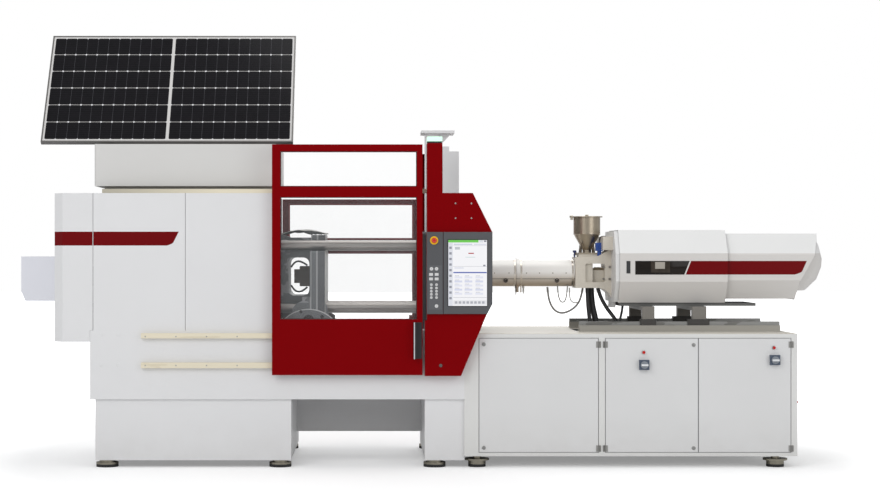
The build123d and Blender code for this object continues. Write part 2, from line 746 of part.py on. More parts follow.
# Moving platen: a notched plate between the tie bars, an open casting behind it, legs on the rails
moving_back = moving_face - moving_thickness
wing_bottom = axis_height - wing_half_height
platen_leg_y = (385.0, wing_half_width)
ejector_radius = 15.0
ejector_pocket = (80.0, 95.0, 78.0)
with BuildPart() as moving_platen:
    with BuildSketch(end_plane(moving_back)):
        with Locations((0, axis_height)):
            Rectangle(2 * wing_half_width, 2 * wing_half_height)
            Rectangle(2 * moving_core_half_width, 2 * moving_core_half_height)
        fillet(vertices(), 8)
    extrude(amount=moving_thickness)
    with BuildSketch(side_plane(-casting_half_width)):
        with BuildLine():
            Polyline(
                (moving_back, axis_height - casting_half_height),
                (casting_back + 60, axis_height - casting_half_height),
                (casting_back, axis_height - casting_half_height + 60),
                (casting_back, axis_height + casting_half_height - 60),
                (casting_back + 60, axis_height + casting_half_height),
                (moving_back, axis_height + casting_half_height),
                close=True,
            )
        make_face()
        window_width = platen_window_span[1] - platen_window_span[0]
        with Locations(((platen_window_span[0] + platen_window_span[1]) / 2, axis_height)):
            RectangleRounded(window_width, 2 * platen_window_half_height, 45, mode=Mode.SUBTRACT)
    extrude(amount=-2 * casting_half_width)
    for side in (-1, 1):
        for level in (-1, 1):
            with BuildSketch(side_plane(side * rear_plate_inner)):
                with Locations((moving_pivot_x, axis_height + level * toggle_height)):
                    Circle(link_end_radius)
                with Locations((casting_back + 30, axis_height + level * (casting_half_height - 90))):
                    Circle(25)
                with Locations((casting_back + 90, axis_height + level * (casting_half_height - 26))):
                    Circle(25)
                make_hull()
            extrude(amount=-side * rear_plate_depth)
        leg_y = sorted((side * platen_leg_y[0], side * platen_leg_y[1]))
        with BuildSketch(side_plane(leg_y[0])):
            with BuildLine():
                Polyline(
                    (moving_face, wing_bottom + 40),
                    (moving_back - 60, wing_bottom + 40),
                    (moving_back - 60, wing_bottom),
                    (-1010, 1078),
                    (-1060, 1060),
                    (-1060, clamp_bed_top + platen_rail_height + 6),
                    (-690, clamp_bed_top + platen_rail_height + 6),
                    (-690, 1060),
                    (-720, 1078),
                    (moving_face + 14, wing_bottom - 30),
                    (moving_face, wing_bottom),
                    close=True,
                )
            make_face()
            with Locations((-905, 1100)):
                Circle(88)
        extrude(amount=-(leg_y[1] - leg_y[0]))
        for x_span in ((-1050, -930), (-820, -700)):
            shoe_y = (side * platen_rail_y - 34, side * platen_rail_y + 34)
            box_between(x_span, shoe_y, (clamp_bed_top + 8, clamp_bed_top + platen_rail_height + 30))
        channel_half = platen_rail_half + free_gap
        box_between(
            (-1100, -650),
            (side * platen_rail_y - channel_half, side * platen_rail_y + channel_half),
            (clamp_bed_top, clamp_bed_top + platen_rail_height + free_gap),
            mode=Mode.SUBTRACT,
        )
    box_between(
        (platen_window_span[1] - 2, moving_back + ejector_pocket[2]),
        (-ejector_pocket[0], ejector_pocket[0]),
        (axis_height - ejector_pocket[1], axis_height + ejector_pocket[1]),
        mode=Mode.SUBTRACT,
    )
    with Locations(Plane(origin=(moving_face, 0, axis_height), z_dir=(-1, 0, 0))):
        Cylinder(ejector_radius + running_gap, moving_thickness, align=(Align.CENTER, Align.CENTER, Align.MIN),
                 mode=Mode.SUBTRACT)
    with Locations(*[Plane(origin=(moving_face, y, z), z_dir=(-1, 0, 0)) for y, z in mould_holes]):
        Cylinder(mould_hole_radius, mould_hole_depth, align=(Align.CENTER, Align.CENTER, Align.MIN),
                 mode=Mode.SUBTRACT)
save(moving_platen.part, "moving_platen")

# Ejector: a bronze crossplate with its rod, in the platen's window
with BuildPart() as ejector:
    box_between((-948, -872), (-68, 68), (axis_height - 76, axis_height + 76))
    fillet(ejector.edges().filter_by(Axis.Y), 6)
    box_between((-990, -948), (-46, 46), (axis_height - 52, axis_height + 52))
    with Locations(Plane(origin=(-880, 0, axis_height), z_dir=(1, 0, 0))):
        Cylinder(ejector_radius, moving_face - 10 + 880, align=(Align.CENTER, Align.CENTER, Align.MIN))
save(ejector.part, "ejector")

# Cover frame: four tubes up, two along, and the dark wall with the platen's opening
with BuildPart() as cover_frame:
    frame_half = bed_half_width - cover_depth - sheet
    for x in (covers_left + 20, cover_split_x, covers_right - inner_wall_thickness - frame_tube - 4):
        for side in (-1, 1):
            tube_y = sorted((side * (frame_half - frame_tube), side * frame_half))
            box_between((x, x + frame_tube), tube_y, (clamp_bed_top, cover_top - sheet))
    for side in (-1, 1):
        tube_y = sorted((side * (frame_half - frame_tube), side * frame_half))
        box_between(
            (covers_left + 20, covers_right - inner_wall_thickness),
            tube_y,
            (cover_top - sheet - frame_tube, cover_top - sheet),
        )
    with BuildSketch(end_plane(covers_right - inner_wall_thickness)):
        with Locations((0, (clamp_bed_top + cover_top - sheet) / 2)):
            Rectangle(2 * frame_half, cover_top - sheet - clamp_bed_top)
        with Locations((0, (clamp_bed_top + wall_opening_top) / 2)):
            Rectangle(2 * wall_opening_half_width, wall_opening_top - clamp_bed_top, mode=Mode.SUBTRACT)
    extrude(amount=inner_wall_thickness)
save(cover_frame.part, "cover_frame")


def folded_cover(x_span, side):
    """A cover panel with turned-in edges, open towards the inside of the machine."""
    outer = side * bed_half_width
    inner = side * (bed_half_width - cover_depth)
    with BuildPart() as cover:
        box_between(x_span, sorted((outer, inner)), (cover_bottom, cover_top))
        box_between(
            (x_span[0] + sheet, x_span[1] - sheet),
            sorted((side * (bed_half_width - sheet), inner)),
            (cover_bottom + sheet, cover_top - sheet),
            mode=Mode.SUBTRACT,
        )
        outer_edges = cover.edges().filter_by(Axis.Z).group_by(Axis.Y)[0 if side < 0 else -1]
        fillet(outer_edges, 2.5)
    return cover.part


seam = 1.0
save(folded_cover((covers_left + seam, cover_split_x - seam), -1), "front_cover_left")
save(folded_cover((cover_split_x + seam, covers_right), -1), "front_cover_right")
save(folded_cover((covers_left + seam, covers_right), 1), "rear_cover")

# End cover: a deep bent shell closing the clamp's left end, with an opening for the drive
with BuildPart() as end_cover:
    with BuildSketch(Plane.XY.offset(end_cover_bottom)):
        with BuildLine():
            Polyline(
                (covers_left - seam, -bed_half_width),
                (end_cover_shoulder, -bed_half_width),
                (end_cover_left, -bed_half_width + end_bevel),
                (end_cover_left, bed_half_width - end_bevel),
                (end_cover_shoulder, bed_half_width),
                (covers_left - seam, bed_half_width),
                close=True,
            )
        make_face()
    extrude(amount=cover_top - end_cover_bottom)
    with BuildSketch(Plane.XY.offset(end_cover_bottom + sheet)):
        with BuildLine():
            Polyline(
                (covers_left, -bed_half_width + sheet),
                (end_cover_shoulder + 1, -bed_half_width + sheet),
                (end_cover_left + sheet, -bed_half_width + end_bevel + 1),
                (end_cover_left + sheet, bed_half_width - end_bevel - 1),
                (end_cover_shoulder + 1, bed_half_width - sheet),
                (covers_left, bed_half_width - sheet),
                close=True,
            )
        make_face()
    extrude(amount=cover_top - end_cover_bottom - 2 * sheet, mode=Mode.SUBTRACT)
    box_between(
        (clamp_bed_left - seam, covers_left),
        (-bed_half_width, bed_half_width),
        (end_cover_bottom, clamp_bed_top + seam),
        mode=Mode.SUBTRACT,
    )
    box_between(
        (end_cover_left, end_cover_left + sheet),
        (-drive_cover_half_width + 30, drive_cover_half_width - 30),
        (drive_cover_bottom + 25, drive_cover_top - 25),
        mode=Mode.SUBTRACT,
    )
save(end_cover.part, "end_cover")

# Drive cover: a bevelled box on the end cover, open towards it
with BuildPart() as drive_cover:
    for inset, mode in ((0, Mode.ADD), (sheet, Mode.SUBTRACT)):
        half = drive_cover_half_width - inset
        with BuildSketch(side_plane(-half)):
            with BuildLine():
                Polyline(
                    (end_cover_left, drive_cover_bottom + inset),
                    (left_end + drive_cover_bevel[0] + inset, drive_cover_bottom + inset),
                    (left_end + inset, drive_cover_bottom + drive_cover_bevel[1] + inset),
                    (left_end + inset, drive_cover_top - inset),
                    (end_cover_left, drive_cover_top - inset),
                    close=True,
                )
            make_face()
        extrude(amount=-2 * half, mode=mode)
save(drive_cover.part, "drive_cover")

# Top hood: a box over a set-back neck, open below into the clamp's enclosure
with BuildPart() as top_hood:
    box_between((hood_left, hood_right), (-hood_half_width, hood_half_width), (hood_bottom, hood_top))
    fillet(top_hood.edges().filter_by(Axis.Z), 12)
    box_between((neck_left, covers_right), (-neck_half_width, neck_half_width), (cover_top, hood_bottom))
    box_between(
        (hood_left + sheet, hood_right - sheet),
        (-hood_half_width + sheet, hood_half_width - sheet),
        (hood_bottom + sheet, hood_top - sheet),
        mode=Mode.SUBTRACT,
    )
    box_between(
        (neck_left + sheet, covers_right - sheet),
        (-neck_half_width + sheet, neck_half_width - sheet),
        (cover_top - sheet, hood_bottom + sheet),
        mode=Mode.SUBTRACT,
    )
    roof_half = bed_half_width - cover_depth
    box_between((covers_left, covers_right), (-roof_half, roof_half), (cover_top - sheet, cover_top))
    box_between(
        (neck_left + 250, covers_right - 250), (-300, 300), (cover_top - sheet, cover_top), mode=Mode.SUBTRACT
    )
save(top_hood.part, "top_hood")

# Gate rails: two channels low on each side, and one high on the operator's side
with BuildPart() as gate_rails:
    for side in (-1, 1):
        for z_span in rail_heights:
            rail_y = sorted((side * bed_half_width, side * (bed_half_width + rail_depth)))
            box_between((rail_left, rail_right), rail_y, z_span)
            groove_y = sorted((side * (bed_half_width + 10), side * (bed_half_width + rail_depth - 6)))
            box_between((rail_left, rail_right), groove_y, (z_span[1] - 8, z_span[1]), mode=Mode.SUBTRACT)
    upper_z = (cover_top, cover_top + upper_rail_height)
    box_between(
        (neck_left, column_left), (-upper_rail_front, -upper_rail_front + upper_rail_depth), upper_z
    )
save(gate_rails.part, "gate_rails")


def gate(side, top, windows, has_upper_shoes):
    """A welded gate frame with its window openings, and shoes that straddle the rails."""
    outer = side * gate_outer
    inner = side * (gate_outer - gate_thickness)
    with BuildPart() as frame:
        with BuildSketch(side_plane(outer)):
            with Locations(((gate_left + gate_right) / 2, (gate_bottom + top) / 2)):
                Rectangle(gate_right - gate_left, top - gate_bottom)
            for low, high in windows:
                with Locations(((gate_window_left + gate_window_right) / 2, (low + high) / 2)):
                    Rectangle(gate_window_right - gate_window_left, high - low, mode=Mode.SUBTRACT)
        extrude(amount=side * gate_thickness)
        for low, high in windows:
            box_between(
                (gate_window_left - pane_lap, gate_window_right + pane_lap),
                sorted((inner, inner + side * pane_thickness)),
                (low - pane_lap, high + pane_lap),
                mode=Mode.SUBTRACT,
            )
        for x in (gate_left + 12, rail_right - shoe_length - 6):
            for z_span in rail_heights:
                shoe_y = sorted((inner, side * (bed_half_width + 15)))
                box_between((x, x + shoe_length), shoe_y, (z_span[0] - 11, z_span[1] + 11))
                box_between(
                    (x, x + shoe_length),
                    sorted((side * (bed_half_width + rail_depth + free_gap), side * bed_half_width)),
                    (z_span[0] - free_gap, z_span[1] + free_gap),
                    mode=Mode.SUBTRACT,
                )
        if has_upper_shoes:
            rail_top = cover_top + upper_rail_height + free_gap
            for x in (gate_left + 12, gate_right - shoe_length - 12):
                box_between((x, x + shoe_length), (inner, -upper_rail_front - free_gap), (cover_top + 8, rail_top))
                box_between((x, x + shoe_length), (inner, -upper_rail_front + 20), (rail_top, rail_top + 10))
    return frame.part


def panes(side, windows):
    """The gate's clear panes, seated in the rebates of its inner face."""
    inner = side * (gate_outer - gate_thickness)
    with BuildPart() as glazing:
        for low, high in windows:
            box_between(
                (gate_window_left - pane_lap, gate_window_right + pane_lap),
                sorted((inner, inner + side * pane_thickness)),
                (low - pane_lap, high + pane_lap),
            )
    return glazing.part


save(gate(-1, front_gate_top, front_windows, True), "front_gate")
save(panes(-1, front_windows), "front_gate_panes")
save(panes(1, rear_windows), "rear_gate_panes")


def gate_handle(side):
    """A bow handle of square bar on a backing strip."""
    face = side * gate_outer
    with BuildPart() as handle:
        box_between(handle_x, sorted((face, face + side * 4)), handle_z)
        grip_y = sorted((face + side * (handle_reach - 16), face + side * handle_reach))
        box_between((handle_x[0] + 2, handle_x[0] + 20), grip_y, handle_z)
        for z in (handle_z[0], handle_z[1] - 18):
            box_between((handle_x[0] + 2, handle_x[0] + 20), sorted((face, face + side * handle_reach)), (z, z + 18))
    return handle.part


save(gate_handle(-1), "front_gate_handle")
with BuildPart() as rear_gate:
    add(gate(1, rear_gate_top, rear_windows, False))
    add(gate_handle(1))
save(rear_gate.part, "rear_gate")

# Guard housing: a red sheet shell round the fixed platen's operator side, with its column
guard_outline = (
    (guard_left, guard_bottom),
    (guard_toe_x, guard_bottom),
    guard_slope_bottom,
    (guard_right, guard_corner_z),
    (guard_right, guard_slope_top),
    (guard_shoulder_x, guard_top),
    (column_right, guard_top),
    (column_right, column_top),
    (column_left, column_top),
    (column_left, 1060.0),
    (guard_left, 1060.0),
)


def guard_shell(side):
    """The guard's shell, open towards the middle of the machine and round the bed's side."""
    depth = guard_front - guard_back
    with BuildPart() as shell:
        with BuildSketch(side_plane(side * guard_front)) as outline:
            with BuildLine():
                Polyline(*guard_outline, close=True)
            make_face()
        extrude(amount=side * depth)
        with BuildSketch(side_plane(side * (guard_front - sheet))):
            with BuildLine():
                Polyline(*guard_outline, close=True)
            make_face()
            offset(amount=-sheet, kind=Kind.INTERSECTION, mode=Mode.REPLACE)
        extrude(amount=side * depth, mode=Mode.SUBTRACT)
        box_between(
            (guard_left - 10, guard_right + 10),
            sorted((side * bed_half_width, side * (guard_back - 10))),
            (guard_bottom - 10, clamp_bed_top + 2),
            mode=Mode.SUBTRACT,
        )
    return shell.part


with BuildPart() as guard_housing:
    add(guard_shell(-1))
    with Locations(Plane(origin=(stop_place[0], -guard_front, stop_place[1]), z_dir=(0, 1, 0))):
        Cylinder(stop_stem_radius + 3, sheet, align=(Align.CENTER, Align.CENTER, Align.MIN), mode=Mode.SUBTRACT)
    add(guard_shell(1))
save(guard_housing.part, "guard_housing")

# Key panel with the stop button's ring, and the stop button
panel_front = guard_front + panel_depth
with BuildPart() as key_panel:
    box_between(
        (key_panel_left, key_panel_right), (-panel_front, -guard_front), (guard_slope_bottom[1], panel_top)
    )
    with Locations(Plane(origin=(stop_place[0], -panel_front, stop_place[1]), z_dir=(0, -1, 0))):
        Cylinder(stop_ring_radius, 3, align=(Align.CENTER, Align.CENTER, Align.MIN))
    with Locations(Plane(origin=(stop_place[0], -panel_front - 3, stop_place[1]), z_dir=(0, 1, 0))):
        Cylinder(stop_stem_radius + running_gap, panel_depth + 3, align=(Align.CENTER, Align.CENTER, Align.MIN),
                 mode=Mode.SUBTRACT)
save(key_panel.part, "key_panel")

with BuildPart() as stop_button:
    ring_front = -panel_front - 3
    with Locations(Plane(origin=(stop_place[0], ring_front - stop_travel - 1, stop_place[1]), z_dir=(0, -1, 0))):
        Cylinder(stop_cap_radius, stop_cap_length, align=(Align.CENTER, Align.CENTER, Align.MIN))
    fillet(stop_button.edges().filter_by(GeomType.CIRCLE).group_by(Axis.Y)[0], 5)
    with Locations(Plane(origin=(stop_place[0], ring_front - stop_travel - 1, stop_place[1]), z_dir=(0, 1, 0))):
        Cylinder(stop_stem_radius, stop_travel + 1 + panel_depth, align=(Align.CENTER, Align.CENTER, Align.MIN))
save(stop_button.part, "stop_button")

# Screen housing that swivels at its left edge, and the display set in it
with BuildPart() as screen_housing:
    with BuildSketch(side_plane(-guard_front - 0.3)):
        with BuildLine():
            Polyline(
                (screen_left, guard_slope_bottom[1]),
                guard_slope_bottom,
                (guard_right, guard_corner_z),
                (guard_right, panel_top),
                (screen_left, panel_top),
                close=True,
            )
        make_face()
    extrude(amount=panel_depth - 0.3)
    front_face = screen_housing.faces().sort_by(Axis.Y)[0]
    chamfer(front_face.edges(), 2)
    box_between(
        display_span_x, (-panel_front, -panel_front + display_depth), display_span_z, mode=Mode.SUBTRACT
    )
save(screen_housing.part, "screen_housing")

with BuildPart() as display:
    box_between(display_span_x, (-panel_front, -panel_front + display_depth), display_span_z)
save(display.part, "display")

# Status beacon on the column
with BuildPart() as beacon:
    column_y = (-guard_front, -guard_back)
    box_between((column_left + 4, column_right - 4), (column_y[0] + 4, column_y[1] - 4), (column_top, column_top + beacon_base))
    box_between((column_left + 1, column_right - 1), (column_y[0] + 1, column_y[1] - 1),
                (column_top + beacon_base, beacon_top))
    fillet(beacon.edges().group_by(Axis.Z)[-1], 5)
save(beacon.part, "beacon")

# Robot console: a pillar on the fixed platen, its top plate and a gusset
with BuildPart() as robot_console:
    fixed_top = axis_height + platen_half_height
    box_between(pillar_span, (-pillar_half_width, pillar_half_width), (fixed_top, console_top - console_plate))
    box_between(
        (console_left, console_right), (-console_half_width, console_half_width),
        (console_top - console_plate, console_top),
    )
    with BuildSketch(side_plane(-60)):
        with BuildLine():
            Polyline(
                (pillar_span[1], gusset_bottom),
                (console_right - 25, console_top - console_plate),
                (pillar_span[1], console_top - console_plate),
                close=True,
            )
        make_face()
    extrude(amount=-120)
save(robot_console.part, "robot_console")

# Rear tower: the stepped cabinet behind the fixed platen
with BuildPart() as rear_tower:
    with BuildSketch(side_plane(tower_y[0])):
        with BuildLine():
            Polyline(
                (tower_span[0], clamp_bed_top),
                (tower_span[1], clamp_bed_top),
                (tower_span[1], tower_tops[1]),
                (tower_step_x, tower_tops[1]),
                (tower_step_x, tower_tops[0]),
                (tower_span[0], tower_tops[0]),
                close=True,
            )
        make_face()
    extrude(amount=-(guard_back - 1 - tower_y[0]))
save(rear_tower.part, "rear_tower")

# Solar panel: frame, laminate and two brackets on the top hood
tilt = math.radians(solar_tilt)
slope = (0, math.cos(tilt), math.sin(tilt))
solar_normal = (0, -math.sin(tilt), math.cos(tilt))
solar_plane = Plane(
    origin=(solar_left + solar_width / 2, solar_low_y, solar_low_z),
    x_dir=(1, 0, 0),
    z_dir=solar_normal,
)
with BuildPart() as solar_frame:
    with BuildSketch(solar_plane):
        with Locations((0, solar_length / 2)):
            Rectangle(solar_width, solar_length)
            Rectangle(solar_width - 2 * solar_rim, solar_length - 2 * solar_rim, mode=Mode.SUBTRACT)
    extrude(amount=-solar_frame_depth)
    with BuildSketch(solar_plane.offset(-solar_frame_depth)):
        with Locations((0, solar_length / 2)):
            Rectangle(solar_width, solar_length)
            Rectangle(solar_width - 60, solar_length - 60, mode=Mode.SUBTRACT)
    extrude(amount=2)

with BuildPart() as solar_laminate:
    with BuildSketch(solar_plane.offset(-2)):
        with Locations((0, solar_length / 2)):
            Rectangle(solar_width - 2 * solar_rim, solar_length - 2 * solar_rim)
    extrude(amount=-laminate_thickness)
save(solar_laminate.part, "solar_laminate")

with solar_frame:
    back_low_y = solar_low_y + solar_frame_depth * math.sin(tilt)
    back_low_z = solar_low_z - solar_frame_depth * math.cos(tilt)
    reach = (hood_top - back_low_z) / math.sin(tilt)
    foot_y = back_low_y + reach * math.cos(tilt)
    head_along = 0.93 * solar_length
    head = (back_low_y + head_along * math.cos(tilt), back_low_z + head_along * math.sin(tilt))
    for x in bracket_x:
        with BuildSketch(end_plane(x)):
            with BuildLine():
                Polyline((foot_y + 8, hood_top), (head[0], head[1]), (hood_half_width - 60, hood_top), close=True)
            make_face()
            offset(amount=-bracket_bar, kind=Kind.INTERSECTION, mode=Mode.SUBTRACT)
        extrude(amount=bracket_width)
save(solar_frame.part, "solar_frame")

# Guide beams of the injection unit, each with its rail
with BuildPart() as guide_beams:
    for side in (-1, 1):
        box_between(
            beam_span, (side * beam_y - beam_half_width, side * beam_y + beam_half_width), (injection_bed_top, beam_top)
        )
        box_between(
            beam_span, (side * beam_y - rail_half_width, side * beam_y + rail_half_width), (beam_top, rail_top)
        )
save(guide_beams.part, "guide_beams")

# Injection carriage: shoes on the rails, legs and the plate that carries the injection drive
with BuildPart() as injection_carriage:
    for side in (-1, 1):
        for shoe, leg in zip(shoe_spans, leg_spans):
            shoe_y = (side * beam_y - rail_half_width - 16, side * beam_y + rail_half_width + 16)
            box_between(shoe, shoe_y, (beam_top + 3, shoe_top))
            leg_y = sorted((side * (beam_y - 30), side * (beam_y + 30)))
            box_between(leg, leg_y, (shoe_top, carriage_plate_bottom))
            rail_slot = rail_half_width + free_gap
            box_between(
                shoe, (side * beam_y - rail_slot, side * beam_y + rail_slot), (beam_top, rail_top + free_gap),
                mode=Mode.SUBTRACT,
            )
    for leg in leg_spans:
        box_between(leg, (-beam_y - 30, beam_y + 30), (carriage_plate_bottom - 30, carriage_plate_bottom))
    box_between(
        carriage_plate_span, (-carriage_half_width, carriage_half_width), (carriage_plate_bottom, carriage_plate_top)
    )
save(injection_carriage.part, "injection_carriage")


def hood_profile(plane, inset, low_z):
    """The hood's six-sided section, inset evenly, on the given plane."""
    (side_y, side_low), (_, side_high), (top_y, top_z) = hood_section
    with BuildSketch(plane) as profile:
        with BuildLine():
            Polyline(
                (-hood_section_low[0] + inset * 0.6, low_z),
                (-side_y + inset, side_low + inset * 0.4),
                (-side_y + inset, side_high - inset * 0.4),
                (-top_y + inset * 0.6, top_z - inset),
                (top_y - inset * 0.6, top_z - inset),
                (side_y - inset, side_high - inset * 0.4),
                (side_y - inset, side_low + inset * 0.4),
                (hood_section_low[0] - inset * 0.6, low_z),
                close=True,
            )
        make_face()
    return profile.sketch


# Barrel head: the block the barrel screws into, the open casting behind it and its flange
with BuildPart() as barrel_head:
    window_left, window_right, window_low, window_high = head_window
    flange_low = carriage_plate_bottom - 15
    with BuildSketch(side_plane(-head_half_width)):
        with BuildLine():
            bottom = Line((head_left, head_bottom), (head_block_right + 90, head_bottom))
            sweep_arc = TangentArc(bottom @ 1, (flange_span[0], flange_low), tangent=(1, 0))
            Polyline(
                sweep_arc @ 1,
                (flange_span[1], flange_low),
                (flange_span[1], 1600),
                (head_block_right + 100, head_top + 8),
                (head_block_right, head_top),
                (head_left, head_top),
                (head_left, head_bottom),
            )
        make_face()
        with Locations(((window_left + window_right) / 2, (window_low + window_high) / 2)):
            RectangleRounded(window_right - window_left, window_high - window_low, 12, mode=Mode.SUBTRACT)
    extrude(amount=-2 * head_half_width)
    extrude(hood_profile(end_plane(flange_span[0]), sheet + 5, hood_section_low[1] + 5),
            amount=flange_span[1] - flange_span[0])
    box_between((1325, flange_span[0]), (-200, 200), (1567, 1668))
    box_between((window_left - 1, feed_block_right), (-88, 88), (window_low - 1, window_high + 1))
    box_between((window_right - 80, window_right + 1), (-45, 45), (axis_height - 45, axis_height + 45))
    block_x = (hopper_x - hopper_base_half, hopper_x + hopper_base_half)
    box_between(block_x, (-hopper_base_half, hopper_base_half), (head_top - 5, hopper_base_bottom))
    box_between(
        (block_x[0] - 10, block_x[1] - 20),
        (-slide_gate_half - free_gap, slide_gate_half + free_gap),
        (hopper_base_bottom - slide_gate_thickness - 2 * free_gap, hopper_base_bottom + 10),
        mode=Mode.SUBTRACT,
    )
    barrel_hole = Plane(origin=(head_left, 0, axis_height), z_dir=(1, 0, 0))
    with Locations(barrel_hole):
        Cylinder(barrel_radius + running_gap, feed_block_right - head_left, align=(Align.CENTER, Align.CENTER, Align.MIN),
                 mode=Mode.SUBTRACT)
        Cylinder(30, 420, align=(Align.CENTER, Align.CENTER, Align.MIN), mode=Mode.SUBTRACT)
    with Locations((hopper_x, 0, head_top + 40)):
        Cylinder(hopper_neck_radius - hopper_wall, head_top + 40 - axis_height,
                 align=(Align.CENTER, Align.CENTER, Align.MAX), mode=Mode.SUBTRACT)
save(barrel_head.part, "barrel_head")

# Barrel with nozzle, heater bands and feed hole
with BuildPart() as barrel:
    with BuildSketch(Plane(origin=(0, 0, axis_height), x_dir=(1, 0, 0), z_dir=(0, -1, 0))):
        with BuildLine():
            Polyline(
                (nozzle_tip, 3),
                (nozzle_tip, 12),
                (nozzle_tip + 10, nozzle_radius),
                (nozzle_tip + nozzle_length, nozzle_radius),
                (nozzle_tip + nozzle_length + 20, barrel_radius),
                (feed_block_right, barrel_radius),
                (feed_block_right, barrel_bore),
                (nozzle_tip + nozzle_length + 60, barrel_bore),
                (nozzle_tip + nozzle_length + 20, 3),
                close=True,
            )
        make_face()
    revolve(axis=Axis((0, 0, axis_height), (1, 0, 0)))
    for index in range(heater_count):
        with Locations(Plane(origin=(first_heater + index * heater_pitch, 0, axis_height), z_dir=(1, 0, 0))):
            Cylinder(heater_radius, heater_length, align=(Align.CENTER, Align.CENTER, Align.MIN))
            Cylinder(barrel_bore, heater_length, align=(Align.CENTER, Align.CENTER, Align.MIN), mode=Mode.SUBTRACT)
    with Locations((hopper_x, 0, axis_height)):
        Cylinder(20, barrel_radius + 2, align=(Align.CENTER, Align.CENTER, Align.MIN), mode=Mode.SUBTRACT)
save(barrel.part, "barrel")

# Barrel guard: two tube covers and the ring between them
guard_wall = 2.0
with BuildPart() as barrel_guard:
    for span in (guard_one_span, guard_two_span):
        with Locations(Plane(origin=(span[0], 0, guard_centre_height), z_dir=(1, 0, 0))):
            Cylinder(guard_radius, span[1] - span[0], align=(Align.CENTER, Align.CENTER, Align.MIN))
    with Locations(Plane(origin=(guard_one_span[1], 0, guard_centre_height), z_dir=(1, 0, 0))):
        Cylinder(guard_ring_radius, guard_two_span[0] - guard_one_span[1],
                 align=(Align.CENTER, Align.CENTER, Align.MIN))
    with Locations(Plane(origin=(guard_one_span[0], 0, guard_centre_height), z_dir=(1, 0, 0))):
        Cylinder(guard_radius - guard_wall, guard_two_span[1] - guard_one_span[0] - 20,
                 align=(Align.CENTER, Align.CENTER, Align.MIN), mode=Mode.SUBTRACT)
    with Locations(Plane(origin=(guard_two_span[1] - 21, 0, axis_height), z_dir=(1, 0, 0))):
        Cylinder(barrel_radius + running_gap, 22, align=(Align.CENTER, Align.CENTER, Align.MIN), mode=Mode.SUBTRACT)
    bracket_z = guard_centre_height - guard_radius
    box_between((692, 706), (-50, -34), (bracket_z - 45, bracket_z + 20))
    box_between((720, 728), (-48, -38), (bracket_z - 48, bracket_z + 20))
save(barrel_guard.part, "barrel_guard")

# Plasticising screw with its coupling behind the barrel
screw_run = 160.0
drive_left = flange_span[1] + screw_run + 10
with BuildPart() as plasticising_screw:
    screw_front = nozzle_tip + nozzle_length + 62 + screw_run
    with BuildSketch(Plane(origin=(0, 0, axis_height), x_dir=(1, 0, 0), z_dir=(0, -1, 0))):
        with BuildLine():
            Polyline(
                (screw_front, 0),
                (screw_front + 36, barrel_bore - running_gap),
                (drive_left, barrel_bore - running_gap),
                (drive_left, 0),
                close=True,
            )
        make_face()
    revolve(axis=Axis((0, 0, axis_height), (1, 0, 0)))
save(plasticising_screw.part, "plasticising_screw")

# Injection drive: a thrust block with the screw's motor, moved along by two ball screws
with BuildPart() as injection_drive:
    box_between((drive_left, drive_left + 110), (-190, 190), (carriage_plate_top + free_gap, axis_height + 150))
    with Locations(Plane(origin=(drive_left + 110, 0, axis_height), z_dir=(1, 0, 0))):
        Cylinder(120, 420, align=(Align.CENTER, Align.CENTER, Align.MIN))
    for side in (-1, 1):
        with Locations(Plane(origin=(drive_left + 110, side * 175, axis_height - 90), z_dir=(1, 0, 0))):
            Cylinder(28, 130, align=(Align.CENTER, Align.CENTER, Align.MIN))
    fillet(injection_drive.edges().filter_by(Axis.X).group_by(SortBy.LENGTH)[0], 8)
save(injection_drive.part, "injection_drive")

# Hopper: a spun bowl on a neck, its base plate with the slide gate's slot, and three braces
with BuildPart() as hopper:
    with BuildSketch(Plane.XZ):
        with BuildLine():
            Polyline(
                (hopper_radius - hopper_wall, hopper_top),
                (hopper_radius, hopper_top),
                (hopper_radius, hopper_cone_top),
                (hopper_neck_radius, hopper_cone_bottom),
                (hopper_neck_radius, hopper_base_top),
                (hopper_neck_radius - hopper_wall, hopper_base_top),
                (hopper_neck_radius - hopper_wall, hopper_cone_bottom),
                (hopper_radius - hopper_wall, hopper_cone_top),
                close=True,
            )
        make_face()
    revolve(axis=Axis.Z)
    box_between((-hopper_base_half, hopper_base_half), (-hopper_base_half, hopper_base_half),
                (hopper_base_bottom, hopper_base_top))
    with Locations((0, 0, hopper_base_bottom)):
        Cylinder(hopper_neck_radius - hopper_wall, 60, align=(Align.CENTER, Align.CENTER, Align.MIN),
                 mode=Mode.SUBTRACT)
    for angle in (45, 135, 225, 315):
        turn = math.radians(angle)
        radial = Plane(
            origin=(0, 0, 0), x_dir=(math.cos(turn), math.sin(turn), 0), z_dir=(math.sin(turn), -math.cos(turn), 0)
        )
        with BuildSketch(radial.offset(-2)):
            with BuildLine():
                Polyline((62, hopper_base_top), (78, hopper_base_top), (66, 1630), (59, 1616), close=True)
            make_face()
        extrude(amount=4)
hopper.part.locate(Location((hopper_x, 0, 0)))
save(hopper.part, "hopper")


# Slide gate under the hopper, open at rest, with a pull knob
with BuildPart() as hopper_gate:
    plate_top = hopper_base_bottom - free_gap
    plate_left = hopper_x - hopper_base_half - 30
    box_between(
        (plate_left, hopper_x + slide_gate_half),
        (-slide_gate_half, slide_gate_half),
        (plate_top - slide_gate_thickness, plate_top),
    )
    with Locations((hopper_x, 0, plate_top)):
        Cylinder(hopper_neck_radius - hopper_wall, slide_gate_thickness,
                 align=(Align.CENTER, Align.CENTER, Align.MAX), mode=Mode.SUBTRACT)
    with Locations((plate_left + 12, 0, plate_top)):
        Cylinder(10, 24, align=(Align.CENTER, Align.CENTER, Align.MIN))
save(hopper_gate.part, "hopper_gate")

